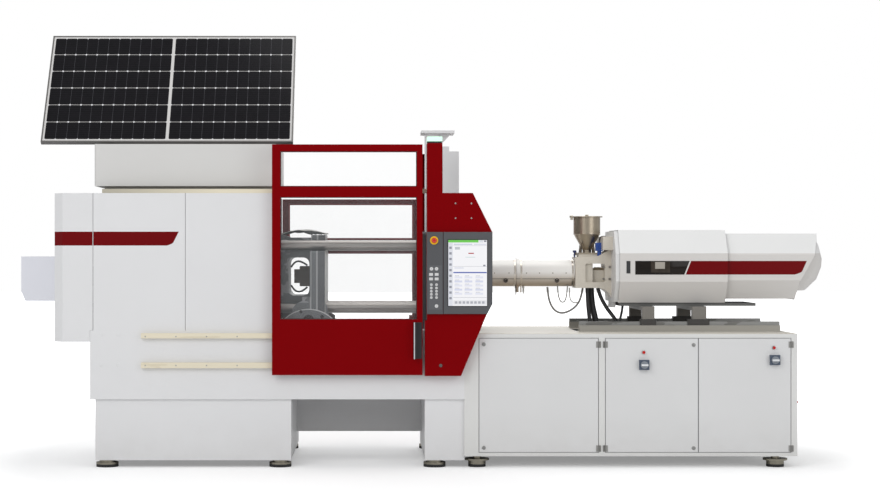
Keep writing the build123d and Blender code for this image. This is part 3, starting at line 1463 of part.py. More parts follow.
# Hopper lid with a rolled rim, a pull and its hinge lug at the back
with BuildPart() as hopper_lid:
    with Locations((hopper_x, 0, hopper_top)):
        Cylinder(lid_radius, lid_thickness, align=(Align.CENTER, Align.CENTER, Align.MIN))
    fillet(hopper_lid.edges().filter_by(GeomType.CIRCLE).group_by(Axis.Z)[-1], 3)
    box_between((hopper_x - 15, hopper_x + 15), (lid_radius - 6, lid_radius + 12), (hopper_top, hopper_top + 8))
    box_between((hopper_x - lid_radius - 12, hopper_x - lid_radius + 10), (-12, 12), (hopper_top - 2, hopper_top + 12))
save(hopper_lid.part, "hopper_lid")


# Front part of the injection hood, which slides back over the rear part
with BuildPart() as hood_front:
    extrude(hood_profile(end_plane(hood_front_span[0]), 0, hood_section_low[1]),
            amount=hood_front_span[1] - hood_front_span[0])
    extrude(hood_profile(end_plane(hood_front_span[0] - 1), sheet, hood_section_low[1] - 1),
            amount=hood_front_span[1] - hood_front_span[0] + 2, mode=Mode.SUBTRACT)
    box_between((1478, 1508), (-hood_section[0][0], -hood_section[0][0] + sheet), (1393, 1486), mode=Mode.SUBTRACT)
save(hood_front.part, "hood_front")

# Rear part of the hood, raked at its end, with the rounded end cap
hood_end = hood_rear_span[1]
rake_points = [(hood_end + back, height) for back, height in hood_rake]
cap_root = rake_points[-1][0] - 20


def raked_body(inset, setback):
    """The rear hood's solid form, cut back along the rake at its end."""
    rake_line = [(x - setback, height) for x, height in rake_points]
    rake_line[-1] = (rake_line[-1][0], rake_line[-1][1] - setback)
    beyond = hood_end + 100
    above = hood_section[2][1] + 50
    below = hood_rear_low - 50
    with BuildPart() as body:
        extrude(
            hood_profile(end_plane(hood_rear_span[0] + 1 - setback), hood_lap + inset, hood_rear_low - setback),
            amount=hood_end - hood_rear_span[0] - 1,
        )
        with BuildSketch(side_plane(-500)):
            with BuildLine():
                Polyline(
                    *rake_line,
                    (rake_line[-1][0], below),
                    (beyond, below),
                    (beyond, above),
                    (rake_line[0][0], above),
                    close=True,
                )
            make_face()
        extrude(amount=-1000, mode=Mode.SUBTRACT)
    return body.part


def cap_outline(inset):
    """Side outline of the end cap, from its root inside the hood round its nose."""
    low, high = hood_cap_corners[0][1] + inset, hood_cap_corners[-1][1] - inset
    nose = [(hood_end + reach - inset, height) for reach, height in hood_cap_corners]
    nose[0] = (nose[0][0], low)
    nose[-1] = (nose[-1][0], high)
    return [(cap_root, low), *nose, (cap_root, high)]


with BuildPart() as hood_rear:
    add(raked_body(0, 0))
    for inset, mode in ((0, Mode.ADD), (sheet, Mode.SUBTRACT)):
        tip = hood_end + hood_cap_corners[2][0] - inset
        with BuildSketch(side_plane(-hood_cap_half_width + inset)):
            with BuildLine():
                Polyline(*cap_outline(inset), close=True)
            make_face()
            fillet(vertices().filter_by(lambda corner: cap_root + 1 < corner.X < tip - 1), hood_cap_radius)
        extrude(amount=-2 * (hood_cap_half_width - inset), mode=mode)
    add(raked_body(sheet, sheet), mode=Mode.SUBTRACT)
save(hood_rear.part, "hood_rear")


def hose(points, diameter, name):
    """A tube along straight runs joined by tangent arcs as large as the runs allow."""
    vectors = [Vector(*point) for point in points]
    radii = []
    for before, corner, after in zip(vectors, vectors[1:], vectors[2:]):
        turn = math.radians((corner - before).get_angle(after - corner))
        shorter = min((corner - before).length, (after - corner).length)
        radii.append(0.45 * shorter / math.tan(turn / 2))
    with BuildPart() as tube:
        with BuildLine() as route:
            FilletPolyline(*vectors, radius=radii)
        start = Plane(origin=vectors[0], z_dir=vectors[1] - vectors[0])
        with BuildSketch(start):
            Circle(diameter / 2)
        sweep()
    length = sum(edge.length for edge in route.edges())
    ratio = tube.part.volume / (length * math.pi * diameter**2 / 4)
    print(name, "length", round(length, 1), "volume ratio", round(ratio, 5), "radii", [round(r, 1) for r in radii])
    save(tube.part, name)


# Conduits and hoses, which hang from the injection unit and enter the well in the bed
grey_conduit_diameter = 15.0
grey_conduit_points = (
    (925.0, -40.0, 1288.0),
    (930.0, -46.0, 1218.0),
    (948.0, -52.0, 1155.0),
    (982.0, -56.0, 1106.0),
    (1034.0, -56.0, 1088.0),
    (1092.0, -50.0, 1106.0),
    (1146.0, -44.0, 1146.0),
    (1180.0, -40.0, 1206.0),
    (1192.0, -40.0, 1280.0),
)
hose(grey_conduit_points, grey_conduit_diameter, "grey_conduit")

power_hose_diameter = 30.0
power_hose_left_points = (
    (1224.0, -70.0, 1281.0),
    (1226.0, -74.0, 1180.0),
    (1236.0, -82.0, 1070.0),
    (1250.0, -84.0, 960.0),
    (1262.0, -80.0, 880.0),
)
hose(power_hose_left_points, power_hose_diameter, "power_hose_left")

power_hose_middle_diameter = 46.0
power_hose_middle_points = (
    (1256.0, -20.0, 1281.0),
    (1260.0, -24.0, 1170.0),
    (1286.0, -34.0, 1060.0),
    (1304.0, -36.0, 950.0),
    (1302.0, -30.0, 870.0),
)
hose(power_hose_middle_points, power_hose_middle_diameter, "power_hose_middle")
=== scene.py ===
"""Finishes, fittings, hoses and studio of the injection moulding machine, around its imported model.

Laid out as an add-on: each group of pieces has an operator, and main runs them in order.
Sizes and places of pieces are in millimetres in the machine's own frame, and are turned into metres
where a piece is made. Where a finish changes is in metres, as its coordinates are.
"""

import math

import bmesh
import bpy
from bpy.props import FloatProperty, FloatVectorProperty, PointerProperty
from mathutils import Matrix, Vector


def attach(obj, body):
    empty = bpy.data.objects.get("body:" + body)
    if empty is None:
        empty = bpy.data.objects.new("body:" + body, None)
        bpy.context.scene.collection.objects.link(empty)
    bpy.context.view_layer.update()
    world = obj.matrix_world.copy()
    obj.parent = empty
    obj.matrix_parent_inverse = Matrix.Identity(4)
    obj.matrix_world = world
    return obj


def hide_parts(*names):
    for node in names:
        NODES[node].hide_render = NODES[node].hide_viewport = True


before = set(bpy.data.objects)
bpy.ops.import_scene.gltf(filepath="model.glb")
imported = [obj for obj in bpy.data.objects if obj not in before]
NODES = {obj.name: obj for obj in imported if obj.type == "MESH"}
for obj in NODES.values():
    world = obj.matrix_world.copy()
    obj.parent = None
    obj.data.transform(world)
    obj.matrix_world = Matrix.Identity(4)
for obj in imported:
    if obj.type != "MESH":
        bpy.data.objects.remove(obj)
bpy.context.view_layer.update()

bl_info = {
    "name": "Injection moulding machine",
    "version": (1, 0, 0),
    "blender": (4, 5, 0),
    "location": "3D View > Sidebar > Machine",
    "description": "Finishes and small fittings of an electric injection moulding machine",
    "category": "Object",
}

MM = 0.001


def tint(red, green, blue):
    """A colour in linear light from its display values, 0 to 255."""
    def linear(value):
        value /= 255
        return value / 12.92 if value <= 0.04045 else ((value + 0.055) / 1.055) ** 2.4
    return (linear(red), linear(green), linear(blue), 1.0)


def shade(colour, factor):
    """The same colour, lighter or darker."""
    return tuple(min(1.0, channel * factor) for channel in colour[:3]) + (1.0,)


def spot(x, y, z):
    """A place on the machine, from millimetres to metres."""
    return Vector((x, y, z)) * MM


# Finishes


class Num:
    """A number inside a finish, with the arithmetic that masks are worked out in."""

    def __init__(self, finish, socket):
        self.finish = finish
        self.socket = socket

    def through(self, operation, *others):
        """The result of a Math node on this number and others."""
        values = dict(enumerate((self, *others)))
        node = self.finish.add("ShaderNodeMath", {"operation": operation}, values)
        return Num(self.finish, node.outputs[0])

    def __add__(self, other):
        return self.through("ADD", other)

    def __radd__(self, other):
        return self.through("ADD", other)

    def __sub__(self, other):
        return self.through("SUBTRACT", other)

    def __rsub__(self, other):
        return self.through("MULTIPLY", -1.0) + other

    def __mul__(self, other):
        return self.through("MULTIPLY", other)

    def __rmul__(self, other):
        return self.through("MULTIPLY", other)

    def __truediv__(self, other):
        return self.through("DIVIDE", other)

    def __abs__(self):
        return self.through("ABSOLUTE")

    def below(self, limit):
        """One where the number is under the limit, else nought."""
        return self.through("LESS_THAN", limit)

    def above(self, limit):
        """One where the number is over the limit, else nought."""
        return self.through("GREATER_THAN", limit)

    def within(self, low, high):
        """One between two limits, else nought."""
        return self.above(low) * self.below(high)

    def near(self, middle, reach):
        """One within a reach either way of a middle, else nought."""
        return self.within(middle - reach, middle + reach)

    def clipped(self):
        """The number held between nought and one."""
        return self.positive().through("MINIMUM", 1.0)

    def positive(self):
        """The number, or nought where it is under that."""
        return self.through("MAXIMUM", 0.0)

    def fraction(self):
        """What is left over from whole steps."""
        return self.through("FLOORED_MODULO", 1.0)


class Finish:
    """A surface finish built up from nodes, on the machine's own coordinates in metres."""

    def __init__(self, name, **constants):
        self.material = bpy.data.materials.new(name)
        self.material.use_nodes = True
        self.tree = self.material.node_tree
        self.shader = self.tree.nodes["Principled BSDF"]
        for socket, value in constants.items():
            self.shader.inputs[socket.replace("_", " ")].default_value = value
        self.place = self.add("ShaderNodeTexCoord").outputs["Object"]
        split = self.add("ShaderNodeSeparateXYZ", {}, {0: self.place})
        self.x, self.y, self.z = (Num(self, socket) for socket in split.outputs)

    def feed(self, socket, value):
        """Links a number or socket, or sets a plain value."""
        if isinstance(value, Num):
            self.tree.links.new(value.socket, socket)
        elif isinstance(value, bpy.types.NodeSocket):
            self.tree.links.new(value, socket)
        else:
            socket.default_value = value

    def add(self, kind, settings=None, values=None):
        """A node of any type: its settings are made first, then its sockets are fed."""
        node = self.tree.nodes.new(kind)
        for setting, value in (settings or {}).items():
            setattr(node, setting, value)
        for key, value in (values or {}).items():
            self.feed(node.inputs[key], value)
        return node

    def noise(self, size, detail=2.0, stretch=(1.0, 1.0, 1.0)):
        """Soft random variation with grains of a size in millimetres, stretched along an axis."""
        scaled = self.add("ShaderNodeMapping", {}, {"Vector": self.place, "Scale": stretch}).outputs[0]
        values = {"Vector": scaled, "Scale": 1 / (size * MM), "Detail": detail}
        return Num(self, self.add("ShaderNodeTexNoise", {}, values).outputs[0])

    def mix(self, mask, under, over):
        """One colour over another by a mask."""
        node = self.add("ShaderNodeMix", {"data_type": "RGBA"}, {0: mask, 6: under, 7: over})
        return node.outputs[2]

    def wear(self, colour, amount, size=420.0):
        """Slight unevenness of a colour over broad patches."""
        return self.mix(self.noise(size, 3.0), shade(colour, 1 - amount), shade(colour, 1 + amount))

    def close(self, colour, roughness, height=None, depth=0.1, **others):
        """Feeds the shader: colour, roughness, and a bump whose full height is depth millimetres."""
        self.feed(self.shader.inputs["Base Color"], colour)
        self.feed(self.shader.inputs["Roughness"], roughness)
        for socket, value in others.items():
            self.feed(self.shader.inputs[socket.replace("_", " ")], value)
        if height is not None:
            bump = self.add("ShaderNodeBump", {}, {"Height": height, "Distance": depth * MM})
            self.feed(self.shader.inputs["Normal"], bump.outputs[0])
        return self.material


def stack(finish, colour, roughness, marks):
    """Lays a part's own marks over its ground: each gives a mask, its colour and its roughness."""
    for mask, over, gloss in marks(finish) if marks else ():
        colour = finish.mix(mask, colour, over)
        roughness = roughness + mask * (gloss - roughness)
    return colour, roughness


def patch(finish, x_span, z_span, front=None):
    """A mask for a rectangle seen from the front, on faces nearer the operator than a limit."""
    across = finish.x.within(x_span[0] * MM, x_span[1] * MM)
    mask = across * finish.z.within(z_span[0] * MM, z_span[1] * MM)
    return mask if front is None else mask * finish.y.below(front * MM)


def disc(finish, x, z, radius, front=None):
    """A mask for a round spot seen from the front."""
    across, up = finish.x - x * MM, finish.z - z * MM
    mask = (across * across + up * up).below((radius * MM) ** 2)
    return mask if front is None else mask * finish.y.below(front * MM)


# How high the dust reaches, in metres, and the size of the paint's grain, in millimetres
DUST_HEIGHT = 0.42
DUST_COLOUR = tint(150, 142, 130)
PEEL_GRAIN = 2.6


def powder_coat(name, colour, gloss=0.42, dust=True, marks=None, shine=0.3):
    """Powder coat: fine orange peel, uneven shade over broad sheets, and dust low down."""
    finish = Finish(name, Specular_IOR_Level=shine)
    ground = finish.wear(colour, 0.025)
    if dust:
        low = ((DUST_HEIGHT - finish.z) / DUST_HEIGHT).clipped() * finish.noise(130.0, 4.0) * 0.22
        ground = finish.mix(low, ground, DUST_COLOUR)
    roughness = finish.noise(260.0) * 0.08 + (gloss - 0.04)
    ground, roughness = stack(finish, ground, roughness, marks)
    return finish.close(ground, roughness, finish.noise(PEEL_GRAIN, 1.0), 0.05)


def cast_iron(name, colour, gloss=0.5, marks=None):
    """Painted casting: sandy skin under the paint, with darker hollows."""
    finish = Finish(name)
    skin = finish.noise(7.0, 5.0)
    ground = finish.mix(skin, shade(colour, 0.86), shade(colour, 1.12))
    ground = finish.mix(finish.noise(160.0, 3.0) * 0.35, ground, shade(colour, 0.7))
    roughness = skin * 0.2 + (gloss - 0.1)
    ground, roughness = stack(finish, ground, roughness, marks)
    return finish.close(ground, roughness, skin, 0.7)


def ground_steel(name, colour, gloss=0.28, along=0, marks=None, calm=1.0):
    """Bare ground steel, with its grinding lines along one axis."""
    finish = Finish(name)
    stretch = tuple(0.03 if axis == along else 1.0 for axis in range(3))
    lines = finish.noise(1.6, 2.0, stretch)
    ground = finish.mix(lines, shade(colour, 1 - 0.1 * calm), shade(colour, 1 + 0.08 * calm))
    ground = finish.mix(finish.noise(90.0, 3.0) * (0.3 * calm), ground, shade(colour, 0.8))
    uneven = lines * (0.12 * calm) + finish.noise(60.0, 2.0) * (0.08 * calm)
    roughness = uneven + (gloss - 0.1 * calm)
    ground, roughness = stack(finish, ground, roughness, marks)
    return finish.close(ground, roughness, lines, 0.01 * calm, Metallic=1.0)


def moulded(name, colour, gloss=0.4, grain=0.9, marks=None):
    """Moulded plastic or rubber with a fine grained skin."""
    finish = Finish(name)
    skin = finish.noise(grain, 2.0)
    ground = finish.wear(colour, 0.05, 60.0)
    roughness = skin * 0.1 + (gloss - 0.05)
    ground, roughness = stack(finish, ground, roughness, marks)
    return finish.close(ground, roughness, skin, 0.06)


def paint_node(material, *names):
    """Gives CAD nodes their finish, in every material slot they have."""
    for name in names:
        for slot in NODES[name].material_slots:
            slot.material = material


# Modelling steps


SHARP_ANGLE = 40.0


def rest():
    """Closes any open mesh and leaves nothing selected."""
    if bpy.context.object is not None and bpy.context.object.mode != "OBJECT":
        bpy.ops.object.mode_set(mode="OBJECT")
    bpy.ops.object.select_all(action="DESELECT")


def settle():
    """Puts the selected piece's place, turn and size into its mesh."""
    bpy.ops.object.transform_apply(location=True, rotation=True, scale=True)


def open_mesh(piece, choose=None, kind="EDGE"):
    """Opens a mesh with only the chosen edges or faces selected."""
    bpy.context.view_layer.objects.active = piece
    piece.select_set(True)
    bpy.ops.object.mode_set(mode="EDIT")
    bpy.context.tool_settings.mesh_select_mode = (kind == "VERT", kind == "EDGE", kind == "FACE")
    bpy.ops.mesh.select_all(action="DESELECT")
    mesh = bmesh.from_edit_mesh(piece.data)
    group = {"VERT": mesh.verts, "EDGE": mesh.edges, "FACE": mesh.faces}[kind]
    for element in group:
        element.select_set(choose is None or bool(choose(element)))
    mesh.select_flush_mode()
    bmesh.update_edit_mesh(piece.data)


def runs_along(axis):
    """Picks edges that run along one axis."""
    def choose(edge):
        run = edge.verts[1].co - edge.verts[0].co
        return abs(run[axis]) > 0.98 * run.length
    return choose


def bevel_edges(piece, width, segments, choose):
    """Bevels the chosen edges of a piece by a width in millimetres."""
    open_mesh(piece, choose)
    bpy.ops.mesh.bevel(offset=width * MM, segments=segments, affect="EDGES")
    bpy.ops.object.mode_set(mode="OBJECT")


def soften(piece, width, segments=2):
    """Rounds a piece's sharp edges with a bevel that is applied at once."""
    bpy.context.view_layer.objects.active = piece
    bevel = piece.modifiers.new("soft_edges", "BEVEL")
    bevel.width = width * MM
    bevel.segments = segments
    bevel.limit_method = "ANGLE"
    bevel.angle_limit = math.radians(SHARP_ANGLE)
    bpy.ops.object.modifier_apply(modifier=bevel.name)
    return piece


def block(x_span, y_span, z_span, corner=0.0, corner_axis=1, edge=1.0, corner_segments=5):
    """A block by its spans: rounded corners about one axis, then all its sharp edges softened."""
    rest()
    spans = (x_span, y_span, z_span)
    bpy.ops.mesh.primitive_cube_add(size=1.0, location=[sum(span) / 2 * MM for span in spans])
    piece = bpy.context.object
    piece.scale = [abs(span[1] - span[0]) * MM for span in spans]
    settle()
    if corner:
        bevel_edges(piece, corner, corner_segments, runs_along(corner_axis))
    return soften(piece, edge, 3) if edge else piece


def around(middle, reach):
    """A span that reaches equally far both ways from its middle."""
    return (middle - reach, middle + reach)


def turned(centre, axis, steps, sides=32, edge=0.0):
    """A turned piece: steps are (distance along its axis, radius), from its back to its nose."""
    rest()
    height, radius = steps[0]
    bpy.ops.mesh.primitive_circle_add(vertices=sides, radius=radius * MM, fill_type="NGON")
    piece = bpy.context.object
    piece.location = (0, 0, height * MM)
    settle()
    open_mesh(piece, kind="FACE")
    for next_height, next_radius in steps[1:]:
        rise = (0, 0, (next_height - height) * MM)
        bpy.ops.mesh.extrude_region_move(TRANSFORM_OT_translate={"value": rise})
        scale = next_radius / radius
        centre_now = (0.0, 0.0, next_height * MM)
        bpy.ops.transform.resize(value=(scale, scale, 1.0), center_override=centre_now)
        height, radius = next_height, next_radius
    bpy.ops.mesh.select_all(action="SELECT")
    bpy.ops.mesh.normals_make_consistent(inside=False)
    bpy.ops.object.mode_set(mode="OBJECT")
    if edge:
        soften(piece, edge, 2)
    piece.rotation_mode = "QUATERNION"
    piece.rotation_quaternion = Vector((0, 0, 1)).rotation_difference(Vector(axis))
    piece.location = spot(*centre)
    settle()
    return piece


def picture_frame(x_span, z_span, front, depth, width, corner):
    """A flat frame with rounded corners, facing the operator."""
    rest()
    middle = spot(sum(x_span) / 2, front, sum(z_span) / 2)
    bpy.ops.mesh.primitive_plane_add(size=1.0, rotation=(math.pi / 2, 0, 0), location=middle)
    piece = bpy.context.object
    piece.scale = ((x_span[1] - x_span[0]) * MM, (z_span[1] - z_span[0]) * MM, 1)
    settle()
    open_mesh(piece, kind="VERT")
    bpy.ops.mesh.bevel(offset=corner * MM, segments=6, affect="VERTICES")
    bpy.ops.object.mode_set(mode="OBJECT")
    open_mesh(piece, kind="FACE")
    bpy.ops.mesh.inset(thickness=width * MM)
    bpy.ops.mesh.delete(type="FACE")
    bpy.ops.mesh.select_all(action="SELECT")
    bpy.ops.mesh.extrude_region_move(TRANSFORM_OT_translate={"value": (0, depth * MM, 0)})
    bpy.ops.mesh.select_all(action="SELECT")
    bpy.ops.mesh.normals_make_consistent(inside=False)
    bpy.ops.object.mode_set(mode="OBJECT")
    return soften(piece, min(width, depth) * 0.2, 2)


def joined(*parts):
    """Several modelled parts as one piece."""
    rest()
    for part in parts:
        part.select_set(True)
    bpy.context.view_layer.objects.active = parts[0]
    bpy.ops.object.join()
    return parts[0]


def spread(piece, offsets):
    """Copies a piece to further places and joins all of them into one."""
    copies = []
    for offset in offsets:
        copy = piece.copy()
        copy.data = piece.data.copy()
        copy.data.transform(Matrix.Translation(spot(*offset)))
        bpy.context.collection.objects.link(copy)
        copies.append(copy)
    return joined(piece, *copies)


def repeated(piece, places):
    """Copies a piece that stands at the first of some (x, z) places to all of them."""
    first_x, first_z = places[0]
    return spread(piece, [(x - first_x, 0, z - first_z) for x, z in places[1:]])


def fit(piece, name, body, material, angle=35.0):
    """Names a finished piece, gives it its finish and smooth shading, and puts it on its body."""
    rest()
    piece.name = name
    piece.select_set(True)
    bpy.context.view_layer.objects.active = piece
    if piece.type == "MESH":
        bpy.ops.object.shade_smooth_by_angle(angle=math.radians(angle))
    piece.data.materials.clear()
    piece.data.materials.append(material)
    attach(piece, body)
    return piece


def tube(name, points, diameter, body, material):
    """A tube along a smooth line through the air, held by the given control points."""
    curve = bpy.data.curves.new(name, "CURVE")
    curve.dimensions = "3D"
    curve.resolution_u = 10
    curve.bevel_resolution = 5
    curve.use_fill_caps = True
    line = curve.splines.new("NURBS")
    line.points.add(len(points) - 1)
    for point, place in zip(line.points, points):
        point.co = (*spot(*place), 1.0)
    line.order_u = 3
    line.use_endpoint_u = True
    piece = bpy.data.objects.new(name, curve)
    bpy.context.collection.objects.link(piece)
    bare = bpy.data.meshes.new_from_object(piece)
    places = [vertex.co for vertex in bare.vertices]
    length = sum((end - start).length for start, end in zip(places, places[1:]))
    bpy.data.meshes.remove(bare)
    curve.bevel_depth = diameter / 2 * MM
    curve.materials.append(material)
    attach(piece, body)
    return piece, length


def hung(name, points, diameter, body, material):
    """A hose or cable that hangs between two fittings, along its curve."""
    piece, along = tube(name, points, diameter, body, material)
    diameter * MM
    return piece


# Settings that a user would change


class MachineColours(bpy.types.PropertyGroup):
    """Colours of the machine's coats."""

    white: FloatVectorProperty(
        name="White coat", description="Covers, beds and hoods",
        subtype="COLOR", size=4, min=0.0, max=1.0, default=tint(226, 226, 227))
    pale: FloatVectorProperty(
        name="Pale coat", description="Cover over the clamp drive",
        subtype="COLOR", size=4, min=0.0, max=1.0, default=tint(228, 229, 236))
    red: FloatVectorProperty(
        name="Red coat", description="Gates and the guard at the fixed platen",
        subtype="COLOR", size=4, min=0.0, max=1.0, default=tint(126, 0, 5))
    stripe: FloatVectorProperty(
        name="Stripe", description="Stripe along the covers and the hood",
        subtype="COLOR", size=4, min=0.0, max=1.0, default=tint(110, 0, 6))
    panel: FloatVectorProperty(
        name="Panel grey", description="Housing of the operator's panel",
        subtype="COLOR", size=4, min=0.0, max=1.0, default=tint(86, 87, 90))
    cream: FloatVectorProperty(
        name="Rail cream", description="Gate rails",
        subtype="COLOR", size=4, min=0.0, max=1.0, default=tint(230, 221, 198))
    casting: FloatVectorProperty(
        name="Casting grey", description="Platens and links of the clamp",
        subtype="COLOR", size=4, min=0.0, max=1.0, default=tint(66, 68, 70))


class FittingSizes(bpy.types.PropertyGroup):
    """Sizes of the small fittings, in millimetres, and the camera's distance in metres."""

    key_height: FloatProperty(
        name="Key height", description="How far a key stands out of the panel, in millimetres",
        default=1.6, min=0.5, max=4.0)
    screw_radius: FloatProperty(
        name="Screw radius", description="Head radius of the guard screws, in millimetres",
        default=6.5, min=3.0, max=10.0)
    gasket_width: FloatProperty(
        name="Gasket width", description="Width of the rubber round a window, in millimetres",
        default=14.0, min=5.0, max=25.0)
    camera_distance: FloatProperty(
        name="Camera distance", description="From the middle of the machine",
        unit="LENGTH", default=13.7, min=6.0, max=40.0)


def colours():
    """The chosen colours."""
    return bpy.context.scene.machine_colours


def sizes():
    """The chosen sizes of small fittings."""
    return bpy.context.scene.fitting_sizes


# Camera, floor and lamps


CAMERA_ACROSS = -0.402
CAMERA_HEIGHT = 1.530
CAMERA_LENS = 73.87
CAMERA_SHIFT = (0.0773, 0.0068)
FLOOR_SIZE = 120.0
FLOOR_COLOUR = (0.84, 0.84, 0.84, 1)
WHITE_FROM = 3.0
WHITE_WITHIN = 2.6
ROOM_COLOUR = (0.98, 0.99, 1.0, 1)
ROOM_STRENGTH = 0.56
BACKDROP_COLOUR = (1, 1, 1, 1)


class MACHINE_OT_studio(bpy.types.Operator):
    """Camera at the photograph's place, pale floor and soft lamps"""

    bl_idname = "machine.studio"
    bl_label = "Studio"

    def execute(self, context):
        self.camera(context)
        self.floor()
        self.lamps(context)
        return {"FINISHED"}

    def camera(self, context):
        """A long lens square to the machine's front."""
        data = bpy.data.cameras.new("photo_camera")
        camera = bpy.data.objects.new("photo_camera", data)
        context.collection.objects.link(camera)
        camera.location = (CAMERA_ACROSS, -sizes().camera_distance, CAMERA_HEIGHT)
        camera.rotation_euler = (math.pi / 2, 0, 0)
        data.sensor_width = 36.0
        data.lens = CAMERA_LENS
        data.shift_x, data.shift_y = CAMERA_SHIFT
        data.clip_end = 200.0
        context.scene.camera = camera
        context.scene.view_settings.view_transform = "Standard"

    def floor(self):
        """A wide pale floor that turns white away from the machine but keeps its shadow."""
        rest()
        bpy.ops.mesh.primitive_plane_add(size=FLOOR_SIZE, location=(0, 0, 0))
        floor = bpy.context.object
        floor.name = "studio_floor"
        finish = Finish("studio_floor")
        reach = (finish.x * finish.x + finish.y * finish.y).through("SQRT")
        far = ((reach - WHITE_FROM) / WHITE_WITHIN).clipped()
        matt = finish.add("ShaderNodeBsdfDiffuse", {}, {"Color": FLOOR_COLOUR})
        light = {"Color": BACKDROP_COLOUR, "Strength": far * 0.8 + 0.26}
        glow = finish.add("ShaderNodeEmission", {}, light)
        both = finish.add("ShaderNodeAddShader", {}, {0: matt.outputs[0], 1: glow.outputs[0]})
        rays = finish.add("ShaderNodeLightPath")
        passed = Num(finish, rays.outputs["Is Transmission Ray"])
        direct = passed.through("MAXIMUM", Num(finish, rays.outputs["Is Camera Ray"]))
        choice = {0: direct, 1: matt.outputs[0], 2: both.outputs[0]}
        seen = finish.add("ShaderNodeMixShader", {}, choice)
        output = next(node for node in finish.tree.nodes if node.type == "OUTPUT_MATERIAL")
        finish.tree.links.new(seen.outputs[0], output.inputs["Surface"])
        floor.data.materials.append(finish.material)

    def lamps(self, context):
        """A soft white room and four square lamps: key at the upper left, fill, top and back."""
        world = bpy.data.worlds.new("studio_world")
        context.scene.world = world
        world.use_nodes = True
        nodes = world.node_tree.nodes
        links = world.node_tree.links
        nodes.clear()
        rays = nodes.new("ShaderNodeLightPath")
        seen = nodes.new("ShaderNodeMath")
        seen.operation = "MAXIMUM"
        links.new(rays.outputs["Is Camera Ray"], seen.inputs[0])
        links.new(rays.outputs["Is Transmission Ray"], seen.inputs[1])
        both = nodes.new("ShaderNodeMixShader")
        links.new(seen.outputs[0], both.inputs[0])
        rooms = ((ROOM_COLOUR, ROOM_STRENGTH), (BACKDROP_COLOUR, 1.0))
        for index, (colour, strength) in enumerate(rooms):
            room = nodes.new("ShaderNodeBackground")
            room.inputs["Color"].default_value = colour
            room.inputs["Strength"].default_value = strength
            links.new(room.outputs[0], both.inputs[index + 1])
        output = nodes.new("ShaderNodeOutputWorld")
        links.new(both.outputs[0], output.inputs[0])
        lamps = (
            ("key_lamp", (-5.5, -9.0, 6.5), (0.0, 0.0, 1.2), 6.0, 330.0),
            ("fill_lamp", (6.5, -8.0, 3.5), (0.5, 0.0, 1.0), 5.0, 130.0),
            ("top_lamp", (0.5, 0.5, 8.0), (0.0, 0.0, 1.0), 6.0, 160.0),
            ("back_lamp", (1.0, 9.0, 6.0), (0.0, 0.0, 1.2), 6.0, 230.0),
        )
        for name, place, aim, size, power in lamps:
            data = bpy.data.lights.new(name, "AREA")
            data.shape = "SQUARE"
            data.size = size
            data.energy = power
            lamp = bpy.data.objects.new(name, data)
            context.collection.objects.link(lamp)
            lamp.location = place
            lamp.rotation_mode = "QUATERNION"
            lamp.rotation_quaternion = (Vector(aim) - Vector(place)).to_track_quat("-Z", "Y")


# Hoses of the injection unit


def corrugated(name, colour, gloss, pitch):
    """Corrugated conduit: fine rings across the tube, here as bands up its height."""
    finish = Finish(name)
    rings = (finish.z / (pitch * MM)).fraction()
    ridge = abs(rings - 0.5) * 2.0
    ground = finish.mix(ridge, shade(colour, 0.75), shade(colour, 1.2))
    return finish.close(ground, ridge * 0.15 + gloss, ridge, 0.8)


class MACHINE_OT_hoses(bpy.types.Operator):
    """Conduit and hoses that hang from the injection unit into the well of its bed"""

    bl_idname = "machine.hoses"
    bl_label = "Hoses"

    def execute(self, context):
        grey = corrugated("grey_corrugated", tint(140, 138, 134), 0.4, 4.0)
        black = moulded("hose_rubber", tint(34, 34, 36), 0.5, 1.2)
        runs = (
            ("conduit_line", "grey_conduit", 15.0, 0.5174, grey, "hose_grey", "medium",
             ((925, -40, 1288), (930, -46, 1218), (948, -52, 1155), (982, -56, 1106), (1034, -56, 1088),
              (1092, -50, 1106), (1146, -44, 1146), (1180, -40, 1206), (1192, -40, 1280))),
            ("power_line_left", "power_hose_left", 30.0, 0.4036, black, "hose_black", "stiff",
             ((1224, -70, 1281), (1226, -74, 1180), (1236, -82, 1070), (1250, -84, 960), (1262, -80, 880))),
            ("power_line_middle", "power_hose_middle", 46.0, 0.4157, black, "hose_black", "stiff",
             ((1256, -20, 1281), (1260, -24, 1170), (1286, -34, 1060), (1304, -36, 950), (1302, -30, 870))),
        )
        for name, node, diameter, length, material, slot, stiffness, points in runs:
            piece = hung(name, points, diameter, "carriage", material)
            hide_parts(node)
        return {"FINISHED"}


# Beds, covers, rails and feet


# Where the finishes change, in metres
COVER_STRIPE = (1.598, 1.698)
COVER_STRIPE_END = -1.793
COVER_STRIPE_CURL = 1.622
COVER_JOINTS = (-2.411, -1.746)
HOOD_STRIPE = (1.385, 1.486)
HOOD_STRIPE_ENDS = (1.916, 2.772)
HOOD_STRIPE_CURL = 1.412
HOOD_SHOULDER = 1.5425
NECK_TOP = 2.0285
BED_TOP_EDGE = 0.9605


def cover_marks(finish):
    """Red stripe along the covers, ending in a slant, with the seam between the covers left white."""
    low, high = COVER_STRIPE
    drop = (COVER_STRIPE_CURL - finish.z).positive()
    slant = (high - finish.z) * 0.5 + drop * drop * 60.0
    seam, end_seam = (finish.x.near(joint, 0.0025) for joint in COVER_JOINTS)
    unpainted = finish.x.near(COVER_JOINTS[0], 0.0035)
    band = finish.z.within(low, high) * (finish.x + slant).below(COVER_STRIPE_END)
    band = band * finish.y.below(-0.55) * (1.0 - unpainted)
    gaps = (seam + end_seam).clipped() * (1.0 - band) * 0.25
    return [(band, colours().stripe, 0.35), (gaps, tint(120, 120, 122), 0.6)]


